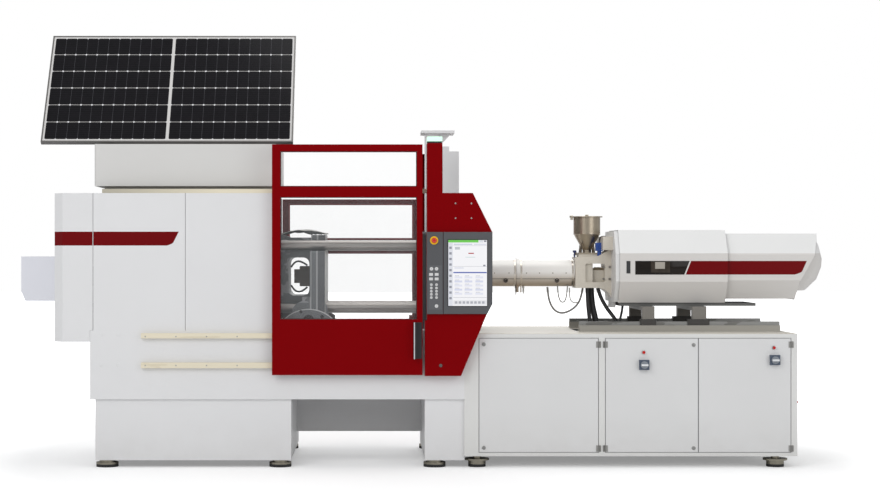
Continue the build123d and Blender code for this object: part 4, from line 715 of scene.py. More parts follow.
def neck_marks(finish):
    """The top hood's neck stands in the shade of its edge."""
    return [(finish.z.below(NECK_TOP), tint(150, 147, 141), 0.55)]


def hood_marks(finish):
    """Red stripe with slanted ends on the injection hood, and painted shade that makes its sides below the
    shoulder darker and a little browner than its top.
    """
    low, high = HOOD_STRIPE
    rise = (finish.z - low) / (high - low)
    start = (finish.x - rise * 0.040).above(HOOD_STRIPE_ENDS[0])
    drop = (HOOD_STRIPE_CURL - finish.z).positive()
    end = (finish.x - rise * 0.045 + drop * drop * 62.0).below(HOOD_STRIPE_ENDS[1])
    band = finish.z.within(low, high) * start * end * finish.y.below(-0.3)
    # painted shade: the hood's sides below its shoulder are darker than its top
    sides = finish.z.below(HOOD_SHOULDER) * 0.8
    return [(sides, tint(212, 208, 204), 0.42), (band, colours().stripe, 0.35)]


def cabinet_marks(finish):
    """The cabinet bed's top is more beige than its front."""
    return [(finish.z.above(BED_TOP_EDGE), tint(214, 209, 198), 0.45)]


def rail_marks(finish):
    """Worn paint on the lower rails, and the upper rails' left end in the shade of the hood."""
    worn = finish.noise(40.0, 4.0, (0.1, 1, 1)).above(0.62) * finish.z.within(0.70, 0.98)
    shaded = finish.z.above(1.97) * ((-1.5 - finish.x) / 0.8).clipped() * 0.7
    return [(worn * 0.3, tint(196, 184, 156), 0.35), (shaded, tint(156, 152, 140), 0.5)]


class MACHINE_OT_shell(bpy.types.Operator):
    """Coats of the beds, covers and hoods, with their rails, feet and plugs"""

    bl_idname = "machine.shell"
    bl_label = "Beds and covers"

    def execute(self, context):
        white = colours().white
        bed = powder_coat("bed_coat", white)
        cabinet = powder_coat("cabinet_coat", tint(221, 221, 219), marks=cabinet_marks)
        cover = powder_coat("cover_coat", white, marks=cover_marks, shine=0.1)
        drive_cover = powder_coat("drive_cover_coat", colours().pale)
        top_hood = powder_coat("top_hood_coat", tint(213, 212, 210), marks=neck_marks)
        cover_frame = powder_coat("frame_coat", tint(120, 122, 124), 0.5)
        hood = powder_coat("hood_coat", tint(232, 232, 231), marks=hood_marks, shine=0.1)
        rails = powder_coat("rail_coat", colours().cream, 0.5, dust=False, marks=rail_marks)
        paint_node(bed, "clamp_bed", "rear_tower", "robot_console")
        paint_node(cabinet, "injection_bed")
        paint_node(cover, "front_cover_left", "front_cover_right", "end_cover", "rear_cover")
        paint_node(drive_cover, "drive_cover")
        paint_node(top_hood, "top_hood")
        paint_node(cover_frame, "cover_frame")
        paint_node(hood, "hood_front", "hood_rear")
        paint_node(rails, "gate_rails")
        paint_node(self.feet(), "levelling_feet")
        self.plugs(bed)
        self.rail_screws()
        return {"FINISHED"}

    def feet(self):
        """Levelling feet: rubber pad, steel plate and stem."""
        finish = Finish("levelling_foot")
        rubber = finish.z.below(0.020)
        grain = finish.noise(3.0, 3.0)
        steel = finish.mix(grain, tint(128, 124, 112), tint(164, 158, 144))
        colour = finish.mix(rubber, steel, tint(38, 38, 38))
        return finish.close(colour, rubber * 0.45 + 0.32, grain, 0.1, Metallic=1.0 - rubber)

    def plugs(self, material):
        """Round plugs over the lifting holes in the skirt of the clamp bed, front and back."""
        places = ((-2350, 957), (-2228, 957), (-2350, 740), (-2228, 740))
        steps = ((-1.0, 13.0), (1.6, 13.0), (2.4, 11.5), (2.2, 8.0))
        for name, side in (("skirt_plugs", -1), ("skirt_plugs_rear", 1)):
            plug = turned((places[0][0], side * 700, places[0][1]), (0, side, 0), steps, 28)
            fit(repeated(plug, places), name, "base", material)

    def rail_screws(self):
        """Flush screws in two rows that hold the lower front rail."""
        places = [(x, z) for x in (-2030, -1810, -1590, -1370) for z in (944, 736)]
        steps = ((-1.0, 5.5), (0.2, 5.5), (0.4, 4.2))
        screw = turned((places[0][0], -735, places[0][1]), (0, -1, 0), steps, 20)
        steel = ground_steel("screw_steel", tint(190, 188, 182))
        fit(repeated(screw, places), "rail_screws", "base", steel)


# Gates and the red guard


GUARD_FRONT = -780
WINDOW_ACROSS = (-1060.5, -79.0)
WINDOW_HEIGHTS = ((1067.0, 1947.0), (2019.0, 2274.0))
GASKET_FRONT = -750.2
# Where the finishes change, in metres
BEACON_COLLAR = 2.3435
REAR_GATE_INSIDE = 0.7515
HANDLE_STRIP = -0.0955
HANDLE_FRONT = -0.78


class MACHINE_OT_guards(bpy.types.Operator):
    """Gates, windows, handle, and the red guard at the fixed platen with its beacon"""

    bl_idname = "machine.guards"
    bl_label = "Gates and guard"

    def execute(self, context):
        red = colours().red
        front = powder_coat("red_coat", red, 0.4, dust=False, shine=0.04)
        rear = powder_coat("rear_red_coat", red, 0.4, dust=False, marks=self.shaded_side, shine=0.04)
        handle = moulded("handle_plastic", tint(26, 26, 28), 0.35, marks=self.handle_marks)
        paint_node(front, "front_gate", "guard_housing")
        paint_node(rear, "rear_gate")
        paint_node(self.pane(), "front_gate_panes", "rear_gate_panes")
        paint_node(handle, "front_gate_handle")
        self.gaskets()
        self.guard_screws()
        self.guard_lock()
        self.beacon()
        return {"FINISHED"}

    def shaded_side(self, finish):
        """The rear gate's inner side, seen through the clamp, is darker with painted shade."""
        # painted shade on the rear gate's inner side
        return [(finish.y.below(REAR_GATE_INSIDE) * 0.8, tint(66, 16, 22), 0.5)]

    def handle_marks(self, finish):
        """Bright strip down the handle's outer edge."""
        strip = finish.x.below(HANDLE_STRIP) * finish.y.below(HANDLE_FRONT)
        return [(strip, tint(198, 199, 202), 0.25)]

    def pane(self):
        """Clear polycarbonate that shows almost nothing of itself."""
        finish = Finish("clear_polycarbonate", Base_Color=(0.9, 0.95, 0.97, 1))
        haze = finish.noise(180.0, 3.0)
        finish.feed(finish.shader.inputs["Alpha"], haze * 0.03 + 0.02)
        finish.feed(finish.shader.inputs["Roughness"], haze * 0.06 + 0.02)
        return finish.material

    def gaskets(self):
        """Rubber strips round the inside edge of each window, behind the gate's front."""
        rubber = moulded("gasket_rubber", tint(30, 28, 30), 0.65)
        width = sizes().gasket_width / 2
        for index, heights in enumerate(WINDOW_HEIGHTS):
            ring = picture_frame(WINDOW_ACROSS, heights, GASKET_FRONT, 6, width, 8)
            fit(ring, f"window_gasket_{index + 1}", "front_gate", rubber)

    def guard_screws(self):
        """Four fixing screws on the guard's shoulder."""
        radius = sizes().screw_radius
        cap = ((-1, radius), (1.2, radius), (3.0, radius * 0.75))
        recess = ((3.0, radius * 0.42), (1.4, radius * 0.40))
        screw = turned((196, GUARD_FRONT, 1899), (0, -1, 0), cap + recess, 24)
        screw = repeated(screw, ((196, 1899), (310, 1899), (196, 1793), (310, 1793)))
        steel = ground_steel("guard_screw_steel", tint(214, 212, 208), 0.25)
        fit(screw, "guard_screws", "base", steel)

    def guard_lock(self):
        """Small slotted lock low on the guard."""
        steps = ((-1, 12), (3, 12), (4.5, 10.5), (4.5, 6), (2.5, 5.5))
        lock = turned((90, GUARD_FRONT, 739), (0, -1, 0), steps, 28)
        slot = block((88.8, 91.2), (GUARD_FRONT - 6, GUARD_FRONT - 1), (732, 746), edge=0.4)
        steel = ground_steel("lock_steel", tint(120, 118, 116), 0.3)
        fit(joined(lock, slot), "guard_lock", "base", steel)

    def beacon(self):
        """Beacon on the column: black collar under a lit pale green lens."""
        finish = Finish("beacon_lens", Emission_Strength=0.55)
        collar = finish.z.below(BEACON_COLLAR)
        ribs = (finish.x * 160.0).fraction()
        lens = finish.mix(ribs.below(0.5), tint(186, 236, 206), tint(206, 244, 220))
        colour = finish.mix(collar, lens, tint(30, 30, 32))
        glow = finish.mix(collar, lens, (0, 0, 0, 1))
        finish.close(colour, collar * 0.2 + 0.25, Emission_Color=glow)
        paint_node(finish.material, "beacon")


# Operator's panel


KEY_FIELD_FRONT = -800
STOP_PLACE = (42, 1634)
KEY_ROUND_LARGE = ((23, 1431), (59, 1431), (59, 1165))
KEY_ROUND_SMALL = tuple((x, z) for x in (22, 59) for z in (1318, 1294, 1271, 1249, 1226))
KEY_SQUARE = tuple((x, z) for x in (20, 60) for z in (1391, 1359))
SCREEN_X = (143.0, 420.0)
SCREEN_Z = (1166.0, 1637.0)
SCREEN_FRONT = -802.6


def screen_rows():
    """The picture's rectangles: left, right, low and high as shares of the display, and a colour."""
    green = (112, 206, 84)
    blue = (78, 96, 176)
    pale = (206, 210, 228)
    ink = (150, 152, 162)
    rows = [
        (0.0, 1.0, 0.0, 1.0, (250, 250, 253)),
        (0.0, 0.115, 0.0, 0.955, (226, 228, 236)),
        (0.0, 0.78, 0.962, 1.0, green),
        (0.80, 0.90, 0.962, 1.0, (222, 226, 232)),
        (0.92, 0.985, 0.968, 0.995, ink),
        (0.14, 0.62, 0.925, 0.943, pale),
        (0.66, 0.98, 0.925, 0.943, (222, 224, 236)),
        (0.13, 0.99, 0.912, 0.915, ink),
        (0.17, 0.30, 0.855, 0.895, (196, 200, 206)),
        (0.52, 0.66, 0.79, 0.806, (176, 40, 52)),
        (0.44, 0.70, 0.737, 0.742, (150, 196, 190)),
        (0.13, 0.99, 0.598, 0.601, ink),
        (0.16, 0.40, 0.57, 0.582, pale),
        (0.90, 0.96, 0.60, 0.625, ink),
        (0.13, 0.99, 0.497, 0.515, blue),
        (0.13, 0.99, 0.125, 0.129, ink),
        (0.13, 0.99, 0.02, 0.085, (232, 232, 236)),
    ]
    rows += [(0.025, 0.09, 0.10 + 0.085 * step, 0.135 + 0.085 * step, ink) for step in range(10)]
    rows += [(0.17 + 0.10 * step, 0.235 + 0.10 * step, 0.035, 0.07, (176, 178, 186)) for step in range(8)]
    for column in (0.16, 0.42, 0.70):
        for step in range(5):
            low = 0.17 + 0.062 * step
            tone = (218, 222, 240) if step % 2 else (232, 234, 246)
            rows.append((column, column + 0.20, low, low + 0.03, tone))
            rows.append((column + 0.01, column + 0.12, low + 0.036, low + 0.041, ink))
    return rows


class MACHINE_OT_panel(bpy.types.Operator):
    """Operator's panel: key field, stop button and the lit display"""

    bl_idname = "machine.panel"
    bl_label = "Operator's panel"

    def execute(self, context):
        grey = colours().panel
        panel = powder_coat("panel_coat", grey, 0.45, dust=False, marks=self.panel_marks)
        screen = powder_coat("screen_coat", shade(grey, 1.03), 0.45, dust=False)
        paint_node(panel, "key_panel")
        paint_node(screen, "screen_housing")
        paint_node(moulded("stop_red", tint(196, 26, 24), 0.28, marks=self.stop_marks), "stop_button")
        paint_node(self.display(), "display")
        self.keys()
        self.bezel()
        return {"FINISHED"}

    def panel_marks(self, finish):
        """Grey film under the keys and the yellow collar round the stop button."""
        film = patch(finish, (4, 98), (1140, 1456), -798.5)
        collar = disc(finish, *STOP_PLACE, 29.5, -798.5)
        return [(film, tint(96, 97, 100), 0.35), (collar, tint(250, 196, 28), 0.35)]

    def stop_marks(self, finish):
        """A paler rim on the button's cap."""
        rim = disc(finish, *STOP_PLACE, 13) - disc(finish, *STOP_PLACE, 11)
        return [(rim, tint(236, 120, 104), 0.3)]

    def display(self):
        """The display's picture, lit from behind: bars and fields with no words."""
        finish = Finish("lit_display", Emission_Strength=0.92)
        across = (finish.x - SCREEN_X[0] * MM) / ((SCREEN_X[1] - SCREEN_X[0]) * MM)
        up = (finish.z - SCREEN_Z[0] * MM) / ((SCREEN_Z[1] - SCREEN_Z[0]) * MM)
        picture = (0.9, 0.9, 0.92, 1)
        for left, right, low, high, colour in screen_rows():
            picture = finish.mix(across.within(left, right) * up.within(low, high), picture, tint(*colour))
        return finish.close((0.01, 0.01, 0.012, 1), 0.12, Emission_Color=picture)

    def keys(self):
        """Keys of the field, each a low cap with a dished top, and a dash on each round one."""
        height = sizes().key_height
        top = KEY_FIELD_FRONT - height
        caps = []
        for places, radius in ((KEY_ROUND_LARGE, 12.5), (KEY_ROUND_SMALL, 9.3)):
            x, z = places[0]
            side = ((-1.0, radius), (height * 0.6, radius))
            dish = ((height, radius - 1.2), (height * 0.8, radius / 2))
            cap = turned((x, KEY_FIELD_FRONT, z), (0, -1, 0), side + dish, 28)
            caps.append(repeated(cap, places))
        x, z = KEY_SQUARE[0]
        cap = block(around(x, 13.5), (top, KEY_FIELD_FRONT + 1), around(z, 10), corner=2.5, edge=0.6)
        caps.append(repeated(cap, KEY_SQUARE))
        fit(joined(*caps), "panel_keys", "base", moulded("key_white", tint(214, 214, 214)))
        places = KEY_ROUND_LARGE + KEY_ROUND_SMALL
        x, z = places[0]
        dash = block(around(x, 3.5), (top - 0.15, top + 0.4), around(z, 1.2), edge=0.15)
        ink = moulded("key_ink", tint(90, 92, 98), 0.5)
        fit(repeated(dash, places), "key_dashes", "base", ink)

    def bezel(self):
        """Thin dark frame that holds the display's glass."""
        across = (SCREEN_X[0] - 5, SCREEN_X[1] + 5)
        heights = (SCREEN_Z[0] - 5, SCREEN_Z[1] + 5)
        rim = picture_frame(across, heights, SCREEN_FRONT, 2.4, 5.2, 4)
        fit(rim, "display_rim", "screen", moulded("rim_plastic", tint(40, 41, 44), 0.3))


# Clamp unit


FLANGE_X = -866
FLANGE_Z = 879
FLANGE_RADIUS = 256
FLANGE_CUT = 1020
FLANGE_HOLES = ((-923, 1114, 12), (-768, 1078, 13), (-866, 1052, 40))
PLATEN_TOP = 1687
# Where the finishes change, in metres
FIXED_FACE = -0.045
MOVING_FACE = -0.746
WEB_BACK = -0.868
WEB_LOW = 1.18
FLANGE_BACK = -0.800
MACHINED_EDGES = (-0.852, -0.806)


class MACHINE_OT_clamp(bpy.types.Operator):
    """Tie bars, platens, toggle links, crosshead and ejector"""

    bl_idname = "machine.clamp"
    bl_label = "Clamp unit"

    def execute(self, context):
        grey = colours().casting
        bars = ground_steel("tie_bar_steel", tint(158, 153, 149), 0.3, along=0, calm=0.35)
        platen = cast_iron("platen_casting", grey, 0.42, marks=self.machined)
        # painted light: the moving platen is a lighter copy of the casting grey
        moving = cast_iron("moving_platen_casting", shade(grey, 2.2), 0.34, marks=self.moving_marks)
        link = cast_iron("link_casting", shade(grey, 1.2), 0.4)
        link_steel = ground_steel("link_steel", tint(170, 168, 164), 0.32, along=2)
        paint_node(bars, "tie_bars")
        paint_node(platen, "fixed_platen", "end_platen")
        paint_node(moving, "moving_platen")
        paint_node(link, "rear_link_upper", "rear_link_lower", "front_link_upper", "front_link_lower")
        paint_node(link_steel, "crosshead", "crosshead_link_upper", "crosshead_link_lower")
        paint_node(cast_iron("drive_casting", tint(58, 60, 63), 0.45), "clamp_drive")
        paint_node(cast_iron("ejector_bronze", tint(96, 74, 56), 0.4), "ejector")
        self.ejector_hoses()
        self.cables()
        # painted light: the flange is an even lighter copy of the casting grey
        self.flange(shade(grey, 2.4))
        return {"FINISHED"}

    def machined(self, finish):
        """Bare ground face of the fixed platen where the mould is bolted."""
        return [(finish.x.near(FIXED_FACE, 0.0015), tint(176, 174, 170), 0.28)]

    def moving_marks(self, finish):
        """Moving platen: pale patches of painted highlight on the web, bright machined edges, painted shade
        over the flange, and its ground face.
        """
        # painted highlights: pale patches on the upper left of the web
        highlight_patches = finish.noise(120.0, 4.0).above(0.52) * 0.5
        web = finish.x.below(WEB_BACK) * finish.z.above(WEB_LOW)
        first, second = (finish.x.near(edge, 0.006) for edge in MACHINED_EDGES)
        # painted shade: the flange is darker than the rest of the casting
        flange = finish.x.within(FLANGE_BACK, MOVING_FACE - 0.0015)
        face = finish.x.near(MOVING_FACE, 0.0015)
        return [
            (web * highlight_patches, tint(168, 168, 170), 0.3),
            ((first + second).clipped() * 0.7, tint(170, 170, 170), 0.3),
            (flange * 0.7, tint(72, 72, 76), 0.4),
            (face, tint(176, 174, 170), 0.28),
        ]

    def flange(self, colour):
        """Half-round flange low on the platen, with three holes painted dark on it, over the lower tie bar.
        """
        steps = ((0, FLANGE_RADIUS), (12, FLANGE_RADIUS), (16, FLANGE_RADIUS - 5))
        plate = turned((FLANGE_X, -455, FLANGE_Z), (0, -1, 0), steps, 96)
        open_mesh(plate, kind="FACE")
        cut = spot(0, 0, FLANGE_CUT)
        bpy.ops.mesh.bisect(plane_co=cut, plane_no=(0, 0, -1), use_fill=True, clear_outer=True)
        bpy.ops.object.mode_set(mode="OBJECT")
        material = cast_iron("flange_casting", colour, 0.38, marks=self.flange_holes)
        fit(plate, "platen_flange", "moving_platen", material)

    def flange_holes(self, finish):
        """Holes of the flange painted as dark discs for the shade inside them, and a paler edge round it."""
        rim = 1.0 - disc(finish, FLANGE_X, FLANGE_Z, FLANGE_RADIUS - 7)
        first, second, third = (disc(finish, *hole) for hole in FLANGE_HOLES)
        # painted shade: the holes are dark discs on the flat plate
        holes = (first + second + third).clipped()
        return [(rim * 0.8, tint(190, 190, 190), 0.3), (holes, tint(18, 8, 10), 0.6)]

    def ejector_hoses(self):
        """Two black hoses that loop from the ejector's crossplate to the platen's window."""
        black = moulded("ejector_hose_rubber", tint(24, 24, 26), 0.45)
        for name, heights in (("upper", (1440, 1482, 1484, 1452)), ("lower", (1300, 1258, 1250, 1288))):
            plan = ((-1010, -75), (-985, -110), (-930, -120), (-890, -96))
            points = [(x, y, z) for (x, y), z in zip(plan, heights)]
            hung(f"ejector_hose_{name}", points, 14, "moving_platen", black)

    def cables(self):
        """Loose bundle of black cables and pale wires that lies along the top of the moving platen."""
        black = moulded("cable_sheath", tint(10, 10, 11), 0.6)
        pale = moulded("pale_wire", tint(222, 222, 216), 0.4)
        runs = []
        for step in range(9):
            side = -96.0 - 18.0 * step
            rise = 13.0 * math.sin(2.3 * step)
            points = (
                (-1086 + 5 * step, side, PLATEN_TOP),
                (-1020, side - 14, PLATEN_TOP + 16 + rise),
                (-950, side + 10, PLATEN_TOP + 18 - rise),
                (-880, side - 12, PLATEN_TOP + 17 + rise),
                (-790 + 5 * rise, side, PLATEN_TOP),
            )
            runs.append((points, 8 + step % 3 * 2, black, "hose_black"))
        for step in range(4):
            side = -120.0 - 34.0 * step
            points = (
                (-1080, side, PLATEN_TOP - 2),
                (-1000 + 12 * step, side - 16, PLATEN_TOP + 25 + 3 * step),
                (-910, side + 12, PLATEN_TOP + 35 - 4 * step),
                (-820, side - 14, PLATEN_TOP + 29),
                (-756 + 8 * step, side, PLATEN_TOP - 2),
            )
            runs.append((points, 5, pale, "hose_grey"))
        for index, (points, diameter, material, slot) in enumerate(runs):
            hung(f"platen_cable_{index + 1}", points, diameter, "moving_platen", material)


# Injection unit


BARREL_AXIS = 1394
HOOD_SIDE = -358
# The rear hood's cap and its slanted end, and where the finishes change, in metres
HOOD_CAP_HALF_WIDTH = 0.220
HOOD_CAP_DRAWN_IN = 0.62
HOOD_CAP_CUTS = (-0.17, -0.11, 0.0, 0.11, 0.17)
HOOD_RAKE = ((1.686, 2.913), (1.545, 2.886), (1.332, 2.767), (1.197, 2.748))
BEAM_TOP = 1.0105
SHOE_TOP = 1.056
CARRIAGE_PLATE = 1.149
HEAD_FLANGE = 1.399
GUARD_SEAM = (1.3480, 1.3525)


def rake_line(height):
    """Where the rear hood's slanted end stands at a height, in metres."""
    for (top, top_x), (low, low_x) in zip(HOOD_RAKE, HOOD_RAKE[1:]):
        if height >= low:
            return low_x + (top_x - low_x) * min(1.0, (height - low) / (top - low))
    return HOOD_RAKE[-1][1]


class MACHINE_OT_injection(bpy.types.Operator):
    """Barrel, its guards and head, hopper, hood and carriage"""

    bl_idname = "machine.injection"
    bl_label = "Injection unit"

    def execute(self, context):
        barrel = ground_steel("barrel_steel", tint(168, 160, 150), 0.3, along=0)
        head = cast_iron("head_casting", tint(218, 211, 198), 0.42, marks=self.head_marks)
        hopper = ground_steel("hopper_sheet", tint(172, 161, 144), 0.34, along=2, calm=0.6)
        carriage = cast_iron("carriage_casting", tint(126, 122, 116), 0.4, marks=self.shoe_marks)
        beams = ground_steel("guide_steel", tint(150, 150, 148), 0.4, along=0, marks=self.beam_marks)
        paint_node(barrel, "barrel", "plasticising_screw")
        paint_node(self.guard_sheet(), "barrel_guard")
        paint_node(head, "barrel_head")
        paint_node(hopper, "hopper", "hopper_lid", "hopper_gate")
        paint_node(carriage, "injection_carriage")
        paint_node(beams, "guide_beams")
        paint_node(cast_iron("injection_motor", tint(64, 66, 70), 0.45), "injection_drive")
        self.hood_cap()
        self.hood_window()
        self.barrel_fittings()
        self.head_fittings()
        self.hopper_fittings()
        self.small_tubes()
        return {"FINISHED"}

    def guard_sheet(self):
        """Brushed stainless guards, with a painted highlight that makes them paler above and painted shade
        that makes them darker and browner below, and the seam of their sheets.
        """
        finish = Finish("barrel_guard_sheet")
        lines = finish.noise(2.2, 2.0, (0.04, 1, 1))
        # painted light: a pale lit top over a darker, browner underside in painted shade
        low = ((1.40 - finish.z) / 0.10).clipped()
        pale = finish.mix(lines, tint(236, 233, 228), tint(244, 242, 238))
        shaded_underside = finish.mix(lines, tint(172, 156, 136), tint(190, 174, 154))
        colour = finish.mix(low, pale, shaded_underside)
        seam = finish.z.within(*GUARD_SEAM) * finish.y.below(0.0)
        colour = finish.mix(seam, colour, tint(92, 84, 74))
        return finish.close(colour, lines * 0.1 + 0.4, lines, 0.01, Metallic=0.3)

    def beam_marks(self, finish):
        """Painted beam under the bare rail, darker where the shoes leave grease."""
        greasy = finish.noise(60.0, 3.0, (0.3, 1, 1)).above(0.55) * 0.5 * finish.z.above(BEAM_TOP)
        return [(finish.z.below(BEAM_TOP), tint(168, 165, 158), 0.5), (greasy, tint(92, 90, 86), 0.4)]

    def head_marks(self, finish):
        """The flange behind the head's webs is white like the hood."""
        return [(finish.x.above(HEAD_FLANGE), tint(222, 222, 221), 0.45)]

    def shoe_marks(self, finish):
        """Dark shoes on the rails under paler legs, and a dark plate over them."""
        shoes = finish.z.below(SHOE_TOP)
        plate = finish.z.above(CARRIAGE_PLATE)
        return [(shoes, tint(60, 58, 56), 0.5), (plate, tint(96, 96, 94), 0.45)]

    def hood_cap(self):
        """Rear hood with its end cap drawn in towards the sides, where its solid is flat across."""
        rest()
        source = NODES["hood_rear"]
        piece = source.copy()
        piece.data = source.data.copy()
        bpy.context.collection.objects.link(piece)
        open_mesh(piece, kind="VERT")
        bpy.ops.mesh.remove_doubles(threshold=0.00002)
        for side in HOOD_CAP_CUTS:
            bpy.ops.mesh.select_all(action="SELECT")
            bpy.ops.mesh.bisect(plane_co=(0, side, 0), plane_no=(0, 1, 0))
        bpy.ops.object.mode_set(mode="OBJECT")
        groups = {}
        for vertex in piece.data.vertices:
            out = vertex.co.x - rake_line(vertex.co.z)
            if out > 0.001 and abs(vertex.co.y) < HOOD_CAP_HALF_WIDTH + 0.0005:
                inward = out * HOOD_CAP_DRAWN_IN * (vertex.co.y / HOOD_CAP_HALF_WIDTH) ** 2
                groups.setdefault(round(inward, 7), set()).add(vertex.index)
        for inward, members in groups.items():
            open_mesh(piece, lambda vertex: vertex.index in members, kind="VERT")
            bpy.ops.transform.translate(value=(-inward, 0, 0))
            bpy.ops.object.mode_set(mode="OBJECT")
        material = source.material_slots[0].material
        fit(piece, "hood_rear_drawn_in", "carriage", material, 25.0)
        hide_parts("hood_rear")

    def hood_window(self):
        """Smoked window in the hood, with a painted reflection on it and a slanted end, and the finger cup
        beside it.
        """
        smoked = Finish("smoked_window", Specular_IOR_Level=0.2)
        deep = smoked.noise(90.0, 3.0)
        colour = smoked.mix(deep, tint(10, 8, 7), tint(40, 33, 27))
        # painted reflection on the smoked pane: a soft pale patch under a brighter glint
        glint = patch(smoked, (1690, 1762), (1428, 1478))
        soft = patch(smoked, (1660, 1800), (1400, 1486))
        colour = smoked.mix(soft * deep * 0.6, colour, tint(96, 86, 76))
        colour = smoked.mix(glint * 0.8, colour, tint(186, 180, 170))
        smoked.close(colour, 0.12)
        pane = block((1543, 1925), (HOOD_SIDE - 3.6, HOOD_SIDE - 1), (1385, 1486), edge=0)
        for level, shift in ((1, 0.020), (-1, -0.020)):
            open_mesh(pane, lambda vertex: vertex.co.x > 1.9 and (vertex.co.z - 1.4) * level > 0, kind="VERT")
            bpy.ops.transform.translate(value=(shift, 0, 0))
            bpy.ops.object.mode_set(mode="OBJECT")
        soften(pane, 0.6)
        fit(pane, "hood_window", "hood_front", smoked.material)
        cup = block((1479, 1507), (HOOD_SIDE, HOOD_SIDE + 20), (1394, 1485), corner=6, edge=0.5)
        dark = moulded("finger_cup", tint(46, 46, 48), 0.5)
        fit(cup, "hood_finger_cup", "hood_front", dark)

    def barrel_fittings(self):
        """Clamp bands, screws, lift eyes and sensor plugs of the barrel guards."""
        steps = ((-7, 101.2), (-7, 102.6), (7, 102.6), (7, 101.2))
        bands = [turned((x, 0, BARREL_AXIS), (1, 0, 0), steps, 64) for x in (262, 676, 724, 1112)]
        band_steel = ground_steel("band_steel", tint(214, 206, 196), 0.24, along=1)
        fit(joined(*bands), "guard_bands", "carriage", band_steel)

        steps = ((-3, 4.5), (1.6, 4.5), (2.6, 3.4))
        screws = turned((300, -101, BARREL_AXIS), (0, -1, 0), steps, 18)
        screws = spread(screws, [(x, 0, 0) for x in (110, 220, 330, 462, 560, 660, 760)])
        screw_steel = ground_steel("sheet_screw_steel", tint(168, 160, 148))
        fit(screws, "guard_sheet_screws", "carriage", screw_steel)

        steps = ((0, 17), (9, 17), (9, 10), (2, 10))
        eyes = [turned((x, -86, 1338), (0, -1, 0), steps, 28, 0.8) for x in (606, 992)]
        eye_black = moulded("eye_black", tint(70, 62, 54))
        fit(joined(*eyes), "guard_lift_eyes", "carriage", eye_black)

        plugs = []
        for x, low in ((688, 1228), (744, 1236)):
            steps = ((-6, 8), (12, 8), (14, 5.5), (40, 5.5), (42, 4), (1292 - low, 4))
            plugs.append(turned((x, -24, 1292), (0, 0, -1), steps, 20, 0.4))
        plug_steel = ground_steel("plug_steel", tint(176, 172, 164))
        fit(joined(*plugs), "sensor_plugs", "carriage", plug_steel)

    def head_fittings(self):
        """Connector with its cable, knob, bright sleeve in the head's window, and flange bolts."""
        blue = moulded("connector_blue", tint(38, 78, 160), 0.35)
        box = block((1284, 1340), (-100, -50), (1560, 1622), corner=5, edge=1.2)
        collar = turned((1312, -100, 1594), (0, -1, 0), ((-1, 15), (6, 15), (6, 11), (2, 10)), 28, 0.5)
        neck = block((1298, 1326), (-92, -58), (1512, 1562), edge=1.0)
        fit(joined(box, collar, neck), "blue_connector", "carriage", blue)

        points = (
            (1312, -76, 1622), (1312, -76, 1650), (1330, -70, 1672), (1372, -60, 1668), (1404, -50, 1640)
        )
        sheath = moulded("connector_cable", tint(40, 40, 42), 0.5)
        tube("connector_cable", points, 9, "carriage", sheath)

        steps = ((-40, 6), (0, 6), (2, 13), (14, 14), (17, 11), (17, 4))
        knob = turned((1128, -60, 1548), (0, 0, 1), steps, 24, 0.6)
        knob_blue = moulded("knob_blue", tint(36, 46, 92), 0.35)
        fit(knob, "blue_knob", "carriage", knob_blue)

        steps = ((0, 38), (12, 38), (12, 44), (62, 44), (62, 40), (80, 40))
        sleeve = turned((1270, 0, BARREL_AXIS), (1, 0, 0), steps, 48, 0.8)
        chrome = ground_steel("sleeve_chrome", tint(222, 214, 200), 0.12, along=1)
        fit(sleeve, "bright_sleeve", "carriage", chrome)

        steps = ((-4, 9), (7, 9), (8, 8), (8, 4.5), (3, 4.2))
        bolt = turned((1340, -118, 1350), (0, -1, 0), steps, 24)
        bolt = repeated(bolt, ((1340, 1350), (1340, 1440), (1386, 1350), (1386, 1440)))
        bolt_steel = ground_steel("bolt_steel", tint(150, 146, 140), 0.35)
        fit(bolt, "head_bolts", "carriage", bolt_steel)

    def hopper_fittings(self):
        """Bead round the hopper's rim, the grip on its lid and the lid's clamp."""
        steel = ground_steel("trim_steel", tint(214, 204, 188), 0.2, along=0)
        steps = ((-3, 101.0), (-1.5, 103.5), (1.5, 103.5), (3, 101.0))
        bead = turned((1228, 0, 1689), (0, 0, 1), steps, 64)
        grip = block((1215, 1241), (-6, 6), (1823, 1837), edge=3.0)
        clamp = block((1104, 1122), (-16, 16), (1796, 1830), corner=4, corner_axis=0, edge=1.5)
        fit(bead, "hopper_bead", "carriage", steel)
        fit(grip, "lid_lift", "hopper_lid", steel)
        fit(clamp, "lid_clamp", "carriage", steel)

    def small_tubes(self):
        """Two thin lines that loop under the barrel's head, and two that hang down to the bed."""
        grey = moulded("thin_line_grey", tint(150, 148, 142), 0.35)
        pale = ground_steel("line_steel", tint(186, 182, 174), 0.3, along=2)
        black = moulded("thin_line_black", tint(30, 30, 32), 0.45)
        runs = (
            ("oil_line_front", ((1000, -50, 1304), (1002, -56, 1236), (1022, -62, 1172), (1056, -62, 1176),
                                (1072, -56, 1240), (1076, -50, 1304)), 9, grey, "hose_grey"),
            ("oil_line_back", ((1100, 40, 1282), (1102, 50, 1230), (1110, 58, 1180), (1150, 60, 1160),
                               (1196, 50, 1190), (1200, 40, 1281)), 8, pale, "stainless"),
            ("slanting_hose", ((1302, -70, 1281), (1318, -78, 1220), (1366, -92, 1130), (1418, -120, 1062),
                               (1438, -170, 1015), (1440, -180, 976)), 28, black, "hose_black"),
            ("drag_line", ((1478, -150, 1150), (1474, -156, 1110), (1458, -176, 1060), (1450, -190, 1010),
                           (1450, -192, 976)), 18, black, "hose_black"),
        )
        for name, points, diameter, material, slot in runs:
            hung(name, points, diameter, "carriage", material)


# Doors of the injection bed and its switches


